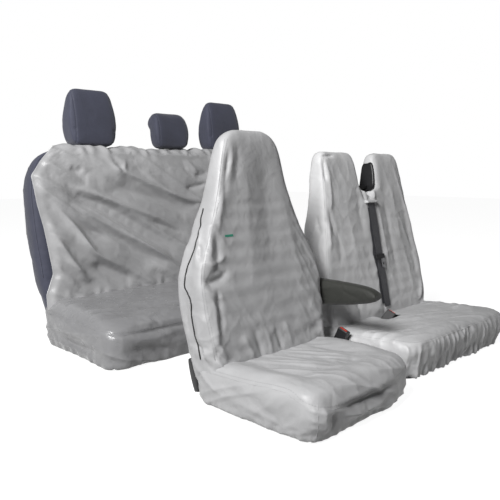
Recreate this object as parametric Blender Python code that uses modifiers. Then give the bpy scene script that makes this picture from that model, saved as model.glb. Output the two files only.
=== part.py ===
"""Three van seats in fitted fabric covers: a driver's seat, a double passenger seat and a rear bench.

Units are metres. Every seat faces -Y, +X is towards an occupant's left, and +Z is up. The origin is the
middle of the driver's seat pan, on its underside, which is the plane that all three seats stand on.
"""

import math

import bmesh
import bpy
from mathutils import Matrix, Vector

# Driving dimensions.
COVER_GAP = 0.002
COVER_THICKNESS = 0.003
CLEARANCE = 0.0005
PAN_THICKNESS = 0.012
PAN_INSET = 0.034
FOAM_FLOOR = 0.019
HEM_TUCK = 0.022
ELASTIC_RADIUS = 0.0025
CORNER_STEPS = 5
CUSHION_CORNER = 0.050
BACK_CORNER = 0.030

# Each seat's place on the floor plane, half width, front and rear of its cushion foam, front and half width
# of the recess in it for the back, top of the foam and how far it falls in a metre towards the rear, axis of
# its back as (y, z), and recline in degrees.
DRIVER = {
    "place": (0.0, 0.0),
    "half_width": 0.278,
    "front": -0.230,
    "rear": 0.280,
    "recess_front": 0.155,
    "recess_half_width": 0.244,
    "top": 0.142,
    "fall": 0.075,
    "axis": (0.230, 0.105),
    "recline": 12.15,
}
DOUBLE = {
    "place": (0.788, 0.076),
    "half_width": 0.400,
    "front": -0.222,
    "rear": 0.270,
    "recess_front": 0.152,
    "recess_half_width": 0.370,
    "top": 0.135,
    "fall": 0.075,
    "axis": (0.228, 0.105),
    "recline": 11.6,
}
BENCH = {
    "place": (0.357, 1.007),
    "half_width": 0.702,
    "front": -0.280,
    "rear": 0.300,
    "recess_front": 0.210,
    "recess_half_width": 0.668,
    "top": 0.186,
    "fall": -0.055,
    "axis": (0.285, 0.205),
    "recline": 8.2,
}
BENCH_BACK_TOP = 0.685
RECESS_FLOOR = 0.036

# The three head restraints of the bench: name, place along the bench, height of the pad, hooked or not.
HEADREST_PLACES = (("right", -0.389, False), ("centre", 0.070, True), ("left", 0.438, False))
HEADREST_HALF_WIDTH = 0.122
POST_RADIUS = 0.006
POST_SPACING = 0.120
POST_LENGTH = 0.105
SLEEVE_BORE = 0.0066
SLEEVE_RADIUS = 0.009
SLEEVE_LENGTH = 0.060

WEBBING_WIDTH = 0.048
WEBBING_THICKNESS = 0.0014
BELT_STANDOFF = 0.0085

MATERIALS = {
    "cover_fabric": ((0.46, 0.465, 0.47), 0.55, 0.0),
    "foam": ((0.30, 0.29, 0.27), 0.9, 0.0),
    "upholstery": ((0.075, 0.08, 0.105), 0.9, 0.0),
    "armrest_fabric": ((0.03, 0.032, 0.026), 0.9, 0.0),
    "black_plastic": ((0.015, 0.015, 0.016), 0.5, 0.0),
    "red_plastic": ((0.75, 0.06, 0.02), 0.35, 0.0),
    "webbing": ((0.05, 0.05, 0.058), 0.7, 0.0),
    "steel": ((0.62, 0.62, 0.64), 0.3, 1.0),
    "painted_steel": ((0.05, 0.05, 0.055), 0.45, 0.4),
    "elastic": ((0.16, 0.16, 0.165), 0.8, 0.0),
    "binding": ((0.02, 0.02, 0.02), 0.7, 0.0),
    "label": ((0.03, 0.28, 0.20), 0.6, 0.0),
}


# ---------------------------------------------------------------- scene and materials


def clear_scene():
    """Removes every object, so that the script also runs from Blender's text editor."""
    for obj in list(bpy.data.objects):
        bpy.data.objects.remove(obj)


def new_collection(name, hidden=False):
    collection = bpy.data.collections.new(name)
    bpy.context.scene.collection.children.link(collection)
    collection.hide_render = hidden
    return collection


def make_materials():
    for name, (colour, roughness, metallic) in MATERIALS.items():
        material = bpy.data.materials.new(name)
        material.use_nodes = True
        shader = material.node_tree.nodes["Principled BSDF"]
        shader.inputs["Base Color"].default_value = (*colour, 1.0)
        shader.inputs["Roughness"].default_value = roughness
        shader.inputs["Metallic"].default_value = metallic


def add_empty(name, location, parent=None, tilt_deg=0.0):
    """An empty that leans back, towards +Y, by tilt_deg."""
    empty = bpy.data.objects.new(name, None)
    PARTS.objects.link(empty)
    empty.parent = parent
    empty.location = location
    empty.rotation_euler = (-math.radians(tilt_deg), 0.0, 0.0)
    return empty


def add_object(name, data, material, parent, location=(0, 0, 0), rotation=(0, 0, 0)):
    """One sub-part, placed in its parent's frame."""
    obj = bpy.data.objects.new(name, data)
    PARTS.objects.link(obj)
    obj.parent = parent
    obj.location = location
    obj.rotation_euler = rotation
    data.materials.append(bpy.data.materials[material])
    return obj


def add_cutter(name, mesh, parent, location=(0, 0, 0), rotation=(0, 0, 0)):
    cutter = bpy.data.objects.new(name, mesh)
    CUTTERS.objects.link(cutter)
    cutter.parent = parent
    cutter.location = location
    cutter.rotation_euler = rotation
    cutter.hide_render = True
    cutter.display_type = "WIRE"
    return cutter


def boolean(obj, cutter, operation="DIFFERENCE"):
    modifier = obj.modifiers.new(cutter.name, "BOOLEAN")
    modifier.operation = operation
    modifier.object = cutter
    modifier.solver = "EXACT"


def bevel(obj, width, segments=2, angle_deg=40):
    modifier = obj.modifiers.new("edges", "BEVEL")
    modifier.width = width
    modifier.segments = segments
    modifier.limit_method = "ANGLE"
    modifier.angle_limit = math.radians(angle_deg)


# ---------------------------------------------------------------- basic shapes


def box_mesh(name, size, centre=(0, 0, 0)):
    bm = bmesh.new()
    bmesh.ops.create_cube(bm, size=1.0)
    bmesh.ops.scale(bm, vec=size, verts=bm.verts)
    bmesh.ops.translate(bm, vec=centre, verts=bm.verts)
    return finished(name, bm)


def cylinder_mesh(name, radius, length, axis="Z", segments=20, centre=(0, 0, 0)):
    bm = bmesh.new()
    bmesh.ops.create_cone(
        bm, cap_ends=True, segments=segments, radius1=radius, radius2=radius, depth=length
    )
    turn = {"X": Matrix.Rotation(math.pi / 2, 3, "Y"), "Y": Matrix.Rotation(math.pi / 2, 3, "X")}
    if axis in turn:
        bmesh.ops.rotate(bm, matrix=turn[axis], verts=bm.verts)
    bmesh.ops.translate(bm, vec=centre, verts=bm.verts)
    return finished(name, bm)


def finished(name, bm):
    """Turns a bmesh into a mesh with its faces pointing out and round edges shaded smooth."""
    bmesh.ops.recalc_face_normals(bm, faces=bm.faces)
    mesh = bpy.data.meshes.new(name)
    bm.to_mesh(mesh)
    bm.free()
    mesh.shade_smooth()
    mesh.set_sharp_from_angle(angle=math.radians(40))
    return mesh


def bridge(bm, low, high):
    """Side faces between two rings of the same number of vertices."""
    for i in range(len(low)):
        j = (i + 1) % len(low)
        bm.faces.new((low[i], low[j], high[j], high[i]))


def ring_points(section, grow=0.0):
    """A rounded rectangle at one height. A section is (z, x, y, half width, half depth, corner radius)."""
    z, x, y, half_x, half_y, corner = section
    half_x, half_y = half_x + grow, half_y + grow
    radius = min(corner + grow, 0.95 * half_x, 0.95 * half_y)
    flat = rounded_rectangle(2 * half_x, 2 * half_y, radius, CORNER_STEPS)
    return [Vector((x + across, y + along, z)) for across, along in flat]


def loft_mesh(name, sections, grow=0.0, open_bottom=False, raise_top=0.0, fall=0.0):
    """A loft through rounded sections, bottom to top, closed at the top and, unless open, at the bottom.

    A fall makes the upper rings slope down towards +Y, by up to fall metres in a metre at the top.
    """
    bm = bmesh.new()
    rings = []
    bottom, height = sections[0][0], sections[-1][0] - sections[0][0]
    for section in sections:
        slope = fall * (section[0] - bottom) / height
        ring = [bm.verts.new(p) for p in ring_points(section, grow)]
        for vertex in ring:
            vertex.co.z -= slope * (vertex.co.y - section[2])
        rings.append(ring)
    for vertex in rings[-1]:
        vertex.co.z += raise_top
    for low, high in zip(rings, rings[1:]):
        bridge(bm, low, high)
    bm.faces.new(rings[-1])
    if not open_bottom:
        bm.faces.new(list(reversed(rings[0])))
    return finished(name, bm)


def outline_object(name, loops, thickness, material, parent, location, rotation):
    """A flat plate: a 2D curve whose first loop is the outline and whose others are holes."""
    curve = bpy.data.curves.new(name, "CURVE")
    curve.dimensions = "2D"
    curve.fill_mode = "BOTH"
    curve.extrude = thickness / 2
    for loop in loops:
        spline = curve.splines.new("POLY")
        spline.points.add(len(loop) - 1)
        for point, (x, y) in zip(spline.points, loop):
            point.co = (x, y, 0.0, 1.0)
        spline.use_cyclic_u = True
    return add_object(name, curve, material, parent, location, rotation)


def cord_object(name, points, radius, material, parent, closed=False):
    """A round cord of one radius through its points."""
    curve = bpy.data.curves.new(name, "CURVE")
    curve.dimensions = "3D"
    curve.bevel_depth = radius
    curve.bevel_resolution = 1
    curve.use_fill_caps = not closed
    spline = curve.splines.new("POLY")
    spline.points.add(len(points) - 1)
    for point, position in zip(spline.points, points):
        point.co = (*position, 1.0)
    spline.use_cyclic_u = closed
    return add_object(name, curve, material, parent)


def circle(radius, steps=16):
    angles = [2 * math.pi * i / steps for i in range(steps)]
    return [(radius * math.cos(a), radius * math.sin(a)) for a in angles]


def rounded_rectangle(width, height, radius, steps=4):
    """Outline of a rectangle with round corners, centred on the origin, counter-clockwise."""
    points = []
    for corner in range(4):
        turn = corner * math.pi / 2
        x = math.copysign(width / 2 - radius, math.cos(turn + math.pi / 4))
        y = math.copysign(height / 2 - radius, math.sin(turn + math.pi / 4))
        for step in range(steps + 1):
            angle = turn + step / steps * math.pi / 2
            points.append((x + radius * math.cos(angle), y + radius * math.sin(angle)))
    return points


# ---------------------------------------------------------------- seat cushions

# Each pair is a share of the cushion's height and how far its wall is drawn in there.
CUSHION_PROFILE = ((0.0, 0.016), (0.14, 0.004), (0.5, 0.0), (0.8, 0.004), (0.93, 0.020), (1.0, 0.062))


def cushion_sections(seat):
    middle, half_depth = (seat["front"] + seat["rear"]) / 2, (seat["rear"] - seat["front"]) / 2
    sections = []
    for share, inset in CUSHION_PROFILE:
        z = FOAM_FLOOR + share * (seat["top"] - FOAM_FLOOR)
        sections.append((z, 0.0, middle, seat["half_width"] - inset, half_depth - inset, CUSHION_CORNER))
    return sections


def hem_section(section):
    """The inner edge of a cover's hem, turned in under the cushion."""
    z, x, y, half_x, half_y, corner = section
    return (z - COVER_GAP, x, y, half_x - HEM_TUCK, half_y - HEM_TUCK, corner - HEM_TUCK)


def add_cushion(name, seat, base):
    """The foam, its cover with a turned-in hem, and the elastic cord that draws the hem in.

    Foam and cover run on past both sides of the back, whose lower end stands in a recess between them.
    """
    sections = cushion_sections(seat)
    foam_mesh = loft_mesh(f"{name}_cushion_foam", sections, fall=seat["fall"])
    foam = add_object(f"{name}_cushion_foam", foam_mesh, "foam", base)
    recess_width, length = 2 * seat["recess_half_width"], 0.4
    middle = seat["recess_front"] + length / 2
    behind = box_mesh("behind_foam", (recess_width, length, 1), (0, middle, 0.3))
    boolean(foam, add_cutter(f"{name}_behind_foam", behind, base))

    lowest = (sections[0][0] - COVER_GAP, *sections[0][1:])
    skin = loft_mesh(
        f"{name}_cushion_cover",
        [hem_section(sections[0]), lowest, *sections[1:]],
        grow=COVER_GAP,
        open_bottom=True,
        raise_top=COVER_GAP,
        fall=seat["fall"],
    )
    cover = add_object(f"{name}_cushion_cover", skin, "cover_fabric", base)
    thicken(cover)
    above_hem = box_mesh("recess", (recess_width, length, 0.6), (0, middle + COVER_GAP, RECESS_FLOOR + 0.3))
    boolean(cover, add_cutter(f"{name}_recess", above_hem, base))

    hem = hem_section(sections[0])
    inside = (hem[0] - COVER_THICKNESS / 2, *hem[1:])
    loop = ring_points(inside, grow=COVER_GAP - ELASTIC_RADIUS - 2 * CLEARANCE)
    cord_object(f"{name}_hem_elastic", loop, ELASTIC_RADIUS, "elastic", base, closed=True)


def thicken(obj):
    modifier = obj.modifiers.new("cloth", "SOLIDIFY")
    modifier.thickness = COVER_THICKNESS
    modifier.offset = 1.0


def add_pan(name, seat, base):
    """The pressed pan that a cushion and its back stand on."""
    width = 2 * (seat["half_width"] - PAN_INSET)
    depth = seat["rear"] - seat["front"] - 2 * PAN_INSET
    middle = (seat["front"] + seat["rear"]) / 2
    outline = rounded_rectangle(width, depth, 0.040)
    place = (0, middle, PAN_THICKNESS / 2)
    outline_object(f"{name}_seat_pan", [outline], PAN_THICKNESS, "painted_steel", base, place, (0, 0, 0))


def start_seat(name, seat):
    """A seat's base empty, the empty on the axis of its back, its pan and its cushion."""
    base = add_empty(f"{name}_base", (*seat["place"], 0))
    back = add_empty(f"{name}_back_axis", (0, *seat["axis"]), base, seat["recline"])
    add_pan(name, seat, base)
    add_cushion(name, seat, base)
    return base, back


# ---------------------------------------------------------------- seat backs


def back_sections(profile):
    """Sections of a back from (height, inner x, outer x, front y, rear y) rows, in the back's own frame."""
    sections = []
    for height, left, right, front, rear in profile:
        x, y = (left + right) / 2, (front + rear) / 2
        sections.append((height, x, y, (right - left) / 2, (rear - front) / 2, BACK_CORNER))
    return sections


def split_back(name_front, name_rear, sections, split_y, parent, split_material="foam"):
    """Cuts a closed back in two at split_y: the foam in front, and the rigid panel behind it."""
    whole = loft_mesh(name_front, sections)
    for name, material, keep_front in (
        (name_front, split_material, True),
        (name_rear, "black_plastic", False),
    ):
        bm = bmesh.new()
        bm.from_mesh(whole)
        shift = -CLEARANCE / 2 if keep_front else CLEARANCE / 2
        geometry = list(bm.verts) + list(bm.edges) + list(bm.faces)
        cut = bmesh.ops.bisect_plane(
            bm,
            geom=geometry,
            plane_co=(0, split_y + shift, 0),
            plane_no=(0, 1, 0),
            clear_outer=keep_front,
            clear_inner=not keep_front,
        )
        edges = [e for e in cut["geom_cut"] if isinstance(e, bmesh.types.BMEdge)]
        bmesh.ops.contextual_create(bm, geom=edges)
        add_object(name, finished(name, bm), material, parent)


# ---------------------------------------------------------------- driver's seat

# Height along the back, half width, front face and rear face, about the recliner axis.
DRIVER_BACK = (
    (-0.055, 0.170, -0.020, 0.020),
    (-0.040, 0.186, -0.042, 0.042),
    (0.022, 0.196, -0.058, 0.056),
    (0.060, 0.250, -0.063, 0.064),
    (0.120, 0.282, -0.064, 0.072),
    (0.200, 0.293, -0.065, 0.074),
    (0.300, 0.291, -0.064, 0.072),
    (0.372, 0.272, -0.064, 0.066),
    (0.470, 0.226, -0.064, 0.050),
    (0.560, 0.188, -0.070, 0.026),
    (0.640, 0.164, -0.079, 0.002),
    (0.730, 0.142, -0.090, -0.022),
    (0.785, 0.118, -0.091, -0.038),
    (0.812, 0.078, -0.083, -0.054),
)
DRIVER_PANEL_SPLIT = 0.012
COVER_BOTTOM = 0.014
BRACKET_THICKNESS = 0.010
BRACKET_ROUND = 0.026
HINGE_PIN_RADIUS = 0.009
BOSS_BORE, BOSS_RADIUS = 0.0094, 0.018
BOSS_INNER_X, BOSS_LENGTH = 0.2025, 0.013
BINDING_RADIUS = 0.0015
ARMREST_X = 0.334
ARMREST_THICKNESS = 0.052
ARMREST_PIVOT = (-0.002, 0.199)
ARMREST_PIN_RADIUS = 0.011
ARMREST_BORE = 0.0125


def interpolate(rows, height):
    """Values of a profile at a height between two of its rows."""
    for low, high in zip(rows, rows[1:]):
        if low[0] <= height <= high[0]:
            share = (height - low[0]) / (high[0] - low[0])
            return [a + share * (b - a) for a, b in zip(low[1:], high[1:])]
    raise ValueError(f"height {height} is outside the profile")


def driver_rows(first=-1.0):
    """The driver's back as profile rows, starting with a row at height first if it is inside the back."""
    rows = [row for row in DRIVER_BACK if row[0] > first]
    if first > DRIVER_BACK[0][0]:
        rows.insert(0, (first, *interpolate(DRIVER_BACK, first)))
    return [(height, -half, half, front, rear) for height, half, front, rear in rows]


def add_driver_back(back):
    split_back(
        "driver_back_foam", "driver_back_panel", back_sections(driver_rows()), DRIVER_PANEL_SPLIT, back
    )
    skin = loft_mesh(
        "driver_back_cover",
        back_sections(driver_rows(COVER_BOTTOM)),
        grow=COVER_GAP,
        open_bottom=True,
        raise_top=COVER_GAP,
    )
    cover = add_object("driver_back_cover", skin, "cover_fabric", back)
    thicken(cover)
    y, z = ARMREST_PIVOT
    opening = cylinder_mesh("armrest_opening", ARMREST_PIN_RADIUS + 0.004, 0.060, "X", 16)
    boolean(cover, add_cutter("armrest_opening", opening, back, (0.290, y, z)))


def add_driver_side_opening(back):
    """The dark binding of the slit down the cover's outer side, which lets a side airbag out."""
    outside = COVER_GAP + COVER_THICKNESS + BINDING_RADIUS + CLEARANCE
    points = []
    rows = [row[0] for row in DRIVER_BACK if 0.05 < row[0] < 0.6]
    for height in rows:
        half, front, rear = interpolate(DRIVER_BACK, height)
        middle = (front + rear) / 2
        points.append((-(half + outside), middle - 0.010, height))
    cord_object("driver_side_opening_binding", points, BINDING_RADIUS, "binding", back)


def add_driver_label(back):
    """A small plain tag sewn flat on the front of the cover."""
    front = interpolate(DRIVER_BACK, 0.450)[1] - COVER_GAP - COVER_THICKNESS - CLEARANCE
    tag = box_mesh("driver_label", (0.036, 0.0008, 0.008))
    add_object("driver_label", tag, "label", back, (-0.150, front - 0.0022, 0.450))


def add_driver_recliner(base, back):
    """A bracket with a hinge pin on each side of the base, and the boss that turns on the pin."""
    y, z = DRIVER["axis"]
    arc = [math.radians(angle) for angle in range(-20, 201, 20)]
    outline = [(y + BRACKET_ROUND * math.cos(a), z + BRACKET_ROUND * math.sin(a)) for a in arc]
    foot = PAN_THICKNESS + CLEARANCE
    outline += [(y - 0.062, foot), (y - 0.030, foot)]
    boss_outer = BOSS_INNER_X + BOSS_LENGTH
    plate_x = boss_outer + CLEARANCE + BRACKET_THICKNESS / 2
    pin_x, pin_length = (BOSS_INNER_X + boss_outer) / 2, BOSS_LENGTH
    for side, sign in (("right", -1), ("left", 1)):
        outline_object(
            f"driver_recliner_bracket_{side}",
            [outline],
            BRACKET_THICKNESS,
            "painted_steel",
            base,
            (sign * plate_x, 0, 0),
            (math.pi / 2, 0, math.pi / 2),
        )
        pin = cylinder_mesh("pin", HINGE_PIN_RADIUS, pin_length, "X", 20)
        add_object(f"driver_hinge_pin_{side}", pin, "steel", base, (sign * pin_x, y, z))
        outline_object(
            f"driver_hinge_boss_{side}",
            [circle(BOSS_RADIUS), circle(BOSS_BORE)],
            BOSS_LENGTH,
            "painted_steel",
            back,
            (sign * pin_x, 0, 0),
            (0, math.pi / 2, 0),
        )


# Side view of the armrest about its pin, as (y, z), with its tip at the front.
ARMREST_TOP = ((0.052, 0.012), (0.040, 0.038), (0.0, 0.050), (-0.090, 0.052), (-0.190, 0.051), (-0.255, 0.047))
ARMREST_TIP = ((-0.284, 0.038), (-0.297, 0.024), (-0.294, 0.010))
ARMREST_UNDERSIDE = ((-0.268, -0.008), (-0.180, -0.027), (-0.060, -0.045), (0.0, -0.050), (0.036, -0.036))


def add_driver_armrest(back, armrest):
    """The padded arm in its fabric sleeve, and the pin on the back that it folds up about."""
    flat = outline_object(
        "armrest_outline",
        [[*ARMREST_TOP, *ARMREST_TIP, *ARMREST_UNDERSIDE, (0.050, -0.012)], circle(ARMREST_BORE)],
        ARMREST_THICKNESS,
        "armrest_fabric",
        armrest,
        (0, 0, 0),
        (math.pi / 2, 0, math.pi / 2),
    )
    pad = curve_to_mesh(flat, "driver_armrest_pad")
    bevel(pad, 0.012, segments=2, angle_deg=60)
    y, z = ARMREST_PIVOT
    inner = interpolate(DRIVER_BACK, z)[0] + CLEARANCE
    outer = ARMREST_X + ARMREST_THICKNESS / 2 - 0.004
    pin = cylinder_mesh("driver_armrest_pin", ARMREST_PIN_RADIUS, outer - inner, "X", 20)
    add_object("driver_armrest_pin", pin, "steel", back, ((inner + outer) / 2, y, z))


def curve_to_mesh(curve_object, name):
    """Replaces a curve object by a welded mesh object of the same shape, place and parent."""
    bpy.context.view_layer.update()
    graph = bpy.context.evaluated_depsgraph_get()
    mesh = bpy.data.meshes.new_from_object(curve_object.evaluated_get(graph))
    bm = bmesh.new()
    bm.from_mesh(mesh)
    bmesh.ops.remove_doubles(bm, verts=bm.verts, dist=1e-5)
    mesh.name = name
    bmesh.ops.recalc_face_normals(bm, faces=bm.faces)
    bm.to_mesh(mesh)
    bm.free()
    obj = bpy.data.objects.new(name, mesh)
    PARTS.objects.link(obj)
    obj.parent = curve_object.parent
    obj.matrix_parent_inverse = curve_object.matrix_parent_inverse.copy()
    obj.location = curve_object.location
    obj.rotation_euler = curve_object.rotation_euler
    bpy.data.objects.remove(curve_object)
    return obj


def make_driver_seat():
    base, back = start_seat("driver", DRIVER)
    armrest = add_empty("driver_armrest_axis", (ARMREST_X, *ARMREST_PIVOT), back, -DRIVER["recline"])
    add_driver_back(back)
    add_driver_side_opening(back)
    add_driver_label(back)
    add_driver_recliner(base, back)
    add_driver_armrest(back, armrest)


# ---------------------------------------------------------------- double passenger seat

# Height along the back, inner x, outer x, front face and rear face of one half.
DOUBLE_HALF_BACK = (
    (-0.058, 0.0003, 0.330, -0.030, 0.036),
    (-0.044, 0.0003, 0.340, -0.050, 0.054),
    (0.030, 0.0003, 0.360, -0.062, 0.064),
    (0.080, 0.0003, 0.372, -0.063, 0.071),
    (0.240, 0.0003, 0.358, -0.064, 0.072),
    (0.410, 0.0003, 0.332, -0.063, 0.060),
    (0.510, 0.0003, 0.316, -0.063, 0.042),
    (0.570, 0.0120, 0.307, -0.064, 0.030),
    (0.598, 0.0420, 0.303, -0.064, 0.024),
    (0.640, 0.0520, 0.299, -0.064, 0.016),
    (0.705, 0.0600, 0.291, -0.062, 0.004),
    (0.736, 0.0740, 0.277, -0.056, -0.004),
    (0.752, 0.1050, 0.248, -0.046, -0.016),
)
DOUBLE_PANEL_SPLIT = 0.014
# The notch between the two head rests lies this far towards the left-hand one.
NOTCH_SHIFT, NOTCH_FLOOR = 0.028, 0.55
BELT_SLOT_HEIGHT = 0.526
BELT_TOP_X, BELT_FOOT_X = 0.004, 0.020
TONGUE_HEIGHT = 0.276
# Name, place of the top of the buckle, sideways lean, forward lean and length of the stalk.
BUCKLES = (
    ("centre", (-0.018, 0.112, 0.150), 38, 20, 0.042),
    ("right", (-0.430, 0.066, 0.158), 10, 20, 0.050),
)


def double_half_rows(sign, first=None):
    """Profile rows of the half on side sign, optionally cut off below the height first."""
    rows = list(DOUBLE_HALF_BACK)
    if first is not None:
        rows = [row for row in rows if row[0] > first]
        rows.insert(0, (first, *interpolate(DOUBLE_HALF_BACK, first)))
    made = []
    for height, inner, outer, front, rear in rows:
        if sign > 0 and height > NOTCH_FLOOR:
            inner += NOTCH_SHIFT
        left, right = sorted((sign * inner, sign * outer))
        made.append((height, left, right, front, rear))
    return made


def add_double_back(back):
    for side, sign in (("right", -1), ("left", 1)):
        split_back(
            f"double_back_foam_{side}",
            f"double_back_panel_{side}",
            back_sections(double_half_rows(sign)),
            DOUBLE_PANEL_SPLIT,
            back,
        )
    add_double_back_cover(back)


def add_double_back_cover(back):
    """One cover over both halves: the joined outer form, less both halves with their gap."""
    outer_grow = COVER_GAP + COVER_THICKNESS
    outers, inners = [], []
    for sign in (-1, 1):
        outer_rows = double_half_rows(sign, COVER_BOTTOM)
        inner_rows = double_half_rows(sign, COVER_BOTTOM - 0.020)
        outers.append(
            loft_mesh("outer", back_sections(outer_rows), outer_grow, raise_top=outer_grow)
        )
        inners.append(loft_mesh("inner", back_sections(inner_rows), COVER_GAP, raise_top=COVER_GAP))
    cover = add_object("double_back_cover", outers[0], "cover_fabric", back)
    boolean(cover, add_cutter("double_other_half", outers[1], back), "UNION")
    for index, inner in enumerate(inners):
        boolean(cover, add_cutter(f"double_inside_{index}", inner, back))
    slot = box_mesh("belt_slot", (0.062, 0.080, 0.010))
    boolean(cover, add_cutter("belt_slot", slot, back, (BELT_TOP_X, -0.060, BELT_SLOT_HEIGHT)))
    side_hole = box_mesh("guide_opening", (0.030, 0.048, 0.085))
    boolean(cover, add_cutter("guide_opening", side_hole, back, (0.052 + NOTCH_SHIFT, -0.014, 0.645)))


def belt_x(height):
    """Middle of the webbing across the seat, at a height along the back."""
    share = (BELT_SLOT_HEIGHT - height) / BELT_SLOT_HEIGHT
    return BELT_TOP_X + share * (BELT_FOOT_X - BELT_TOP_X)


def belt_face():
    """Where the middle of the webbing lies in front of the back's axis."""
    front = min(row[3] for row in DOUBLE_HALF_BACK)
    return front - COVER_GAP - COVER_THICKNESS - BELT_STANDOFF


def add_double_belt(back, tongue):
    """Webbing from its slot down to its foot, its stop button, and the tongue that slides on it."""
    face = belt_face()
    height = BELT_SLOT_HEIGHT - 0.004
    lean = math.atan2(BELT_FOOT_X - BELT_TOP_X, height)
    strap = box_mesh("double_belt_webbing", (WEBBING_WIDTH, WEBBING_THICKNESS, height - 0.064))
    middle = (height + 0.064) / 2
    add_object(
        "double_belt_webbing", strap, "webbing", back, (belt_x(middle), face, middle), (0, -lean, 0)
    )
    stop_height = TONGUE_HEIGHT - 0.030
    stop = cylinder_mesh("double_belt_stop", 0.006, 0.003, "Y", 12)
    stop_y = face - WEBBING_THICKNESS / 2 - 0.0015 - CLEARANCE
    add_object("double_belt_stop", stop, "black_plastic", back, (belt_x(stop_height), stop_y, stop_height))

    ring = outline_object(
        "double_tongue_grip",
        [rounded_rectangle(0.064, 0.0130, 0.004), rounded_rectangle(0.0530, 0.0052, 0.0012, 2)],
        0.020,
        "black_plastic",
        tongue,
        (0, 0, 0),
        (0, 0, 0),
    )
    ring.data.resolution_u = 1
    latch_z = -0.034
    outline_object(
        "double_tongue_plate",
        [
            [(-0.013, 0.0233), (0.013, 0.0233), (0.012, -0.012), (0.006, -0.020), (-0.006, -0.020), (-0.012, -0.012)],
            rounded_rectangle(0.013, 0.008, 0.002, 2),
        ],
        0.0022,
        "steel",
        tongue,
        (0.010, -0.0072, latch_z),
        (math.pi / 2, 0, 0),
    )


def add_double_guide(back):
    """The plastic guide in the notch between the two head rests, that the webbing comes out through."""
    floor_z = 0.6045
    guide = box_mesh("double_belt_guide", (0.072, 0.050, 0.016))
    obj = add_object("double_belt_guide", guide, "black_plastic", back, (NOTCH_SHIFT / 2, -0.012, floor_z))
    bevel(obj, 0.003)
    trim_y = belt_face() + BELT_STANDOFF - 0.0030
    outline_object(
        "double_belt_slot_trim",
        [rounded_rectangle(0.072, 0.022, 0.004, 2), rounded_rectangle(0.058, 0.008, 0.002, 2)],
        0.0012,
        "cover_fabric",
        back,
        (BELT_TOP_X, trim_y, BELT_SLOT_HEIGHT),
        (math.pi / 2, 0, 0),
    )


BUCKLE_SIZE = (0.046, 0.028, 0.072)
BUCKLE_SLOT = (0.0290, 0.0056, 0.040)
BUTTON_SIZE = (0.0320, 0.0100, 0.016)
BUTTON_GAP = 0.0010


def add_buckle(base, name, place, side_lean, forward_lean, stalk_length):
    """A buckle on its stalk, broad faces to the sides. Its top holds the tongue's slot and the red button."""
    axis = add_empty(f"double_buckle_axis_{name}", place, base)
    axis.rotation_euler = (math.radians(side_lean), -math.radians(forward_lean), math.pi / 2)
    length = BUCKLE_SIZE[2]
    housing = add_object(
        f"double_buckle_{name}",
        box_mesh("buckle", BUCKLE_SIZE, (0, 0, -length / 2)),
        "black_plastic",
        axis,
    )
    bevel(housing, 0.004)
    slot = box_mesh("tongue_slot", BUCKLE_SLOT, (0, -0.0072, 0.010 - BUCKLE_SLOT[2] / 2))
    boolean(housing, add_cutter(f"tongue_slot_{name}", slot, axis))
    pocket_size = (BUTTON_SIZE[0] + BUTTON_GAP, BUTTON_SIZE[1] + BUTTON_GAP, 0.040)
    pocket = box_mesh("button_pocket", pocket_size, (0, 0.0040, -0.002))
    boolean(housing, add_cutter(f"button_pocket_{name}", pocket, axis))
    button = box_mesh("button", BUTTON_SIZE, (0, 0.0040, 0.0010 - BUTTON_SIZE[2] / 2))
    add_object(f"double_buckle_button_{name}", button, "red_plastic", axis)
    stalk = box_mesh("stalk", (0.020, 0.005, stalk_length), (0, 0, -length - stalk_length / 2 - CLEARANCE))
    add_object(f"double_buckle_stalk_{name}", stalk, "black_plastic", axis)


def cut_buckle_pocket(base):
    """The recess in the rear edge of the cushion that the centre buckle stands in."""
    recess = box_mesh("buckle_recess", (0.125, 0.200, 0.300), (-0.045, 0.172, 0.190))
    cutter = add_cutter("buckle_recess", recess, base)
    boolean(bpy.data.objects["double_cushion_foam"], cutter)
    boolean(bpy.data.objects["double_cushion_cover"], cutter)


def make_double_seat():
    base, back = start_seat("double", DOUBLE)
    add_double_back(back)
    lean = math.atan2(BELT_FOOT_X - BELT_TOP_X, BELT_SLOT_HEIGHT)
    tongue = add_empty("double_tongue_axis", (belt_x(TONGUE_HEIGHT), belt_face(), TONGUE_HEIGHT), back)
    tongue.rotation_euler = (0, -lean, 0)
    add_double_belt(back, tongue)
    add_double_guide(back)
    for buckle in BUCKLES:
        add_buckle(base, *buckle)
    cut_buckle_pocket(base)


# ---------------------------------------------------------------- rear bench

BENCH_BACK = (
    (-0.140, 0.620, -0.030, 0.040),
    (-0.110, 0.640, -0.050, 0.058),
    (0.040, 0.660, -0.059, 0.066),
    (0.100, 0.714, -0.060, 0.072),
    (0.300, 0.732, -0.061, 0.076),
    (0.500, 0.730, -0.060, 0.066),
    (0.600, 0.700, -0.057, 0.056),
    (0.656, 0.650, -0.047, 0.042),
    (0.685, 0.570, -0.030, 0.022),
)
BENCH_PANEL_SPLIT = 0.040
SHEET_SIDE_MARGIN = 0.022
SHEET_REAR_DROP = 0.110


def add_bench_back(back):
    rows = [(height, -half, half, front, rear) for height, half, front, rear in BENCH_BACK]
    split_back(
        "bench_back_upholstery",
        "bench_back_panel",
        back_sections(rows),
        BENCH_PANEL_SPLIT,
        back,
        "upholstery",
    )


def sheet_profile():
    """Side view of the bench cover: up the front of the back, over its top and down behind it."""
    away = COVER_GAP + 0.001
    front = [(row[2] - away, row[0]) for row in BENCH_BACK[1:-1]]
    front[0] = (front[1][0], 0.0)
    top = BENCH_BACK_TOP + away
    crown = [(-0.040, top - 0.006), (-0.022, top), (0.012, top), (0.028, top - 0.004)]
    rear = [(row[3] + away, row[0]) for row in reversed(BENCH_BACK[-3:-1])]
    last = (0.056 + away, BENCH_BACK_TOP - SHEET_REAR_DROP)
    return front + crown + rear + [last]


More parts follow.
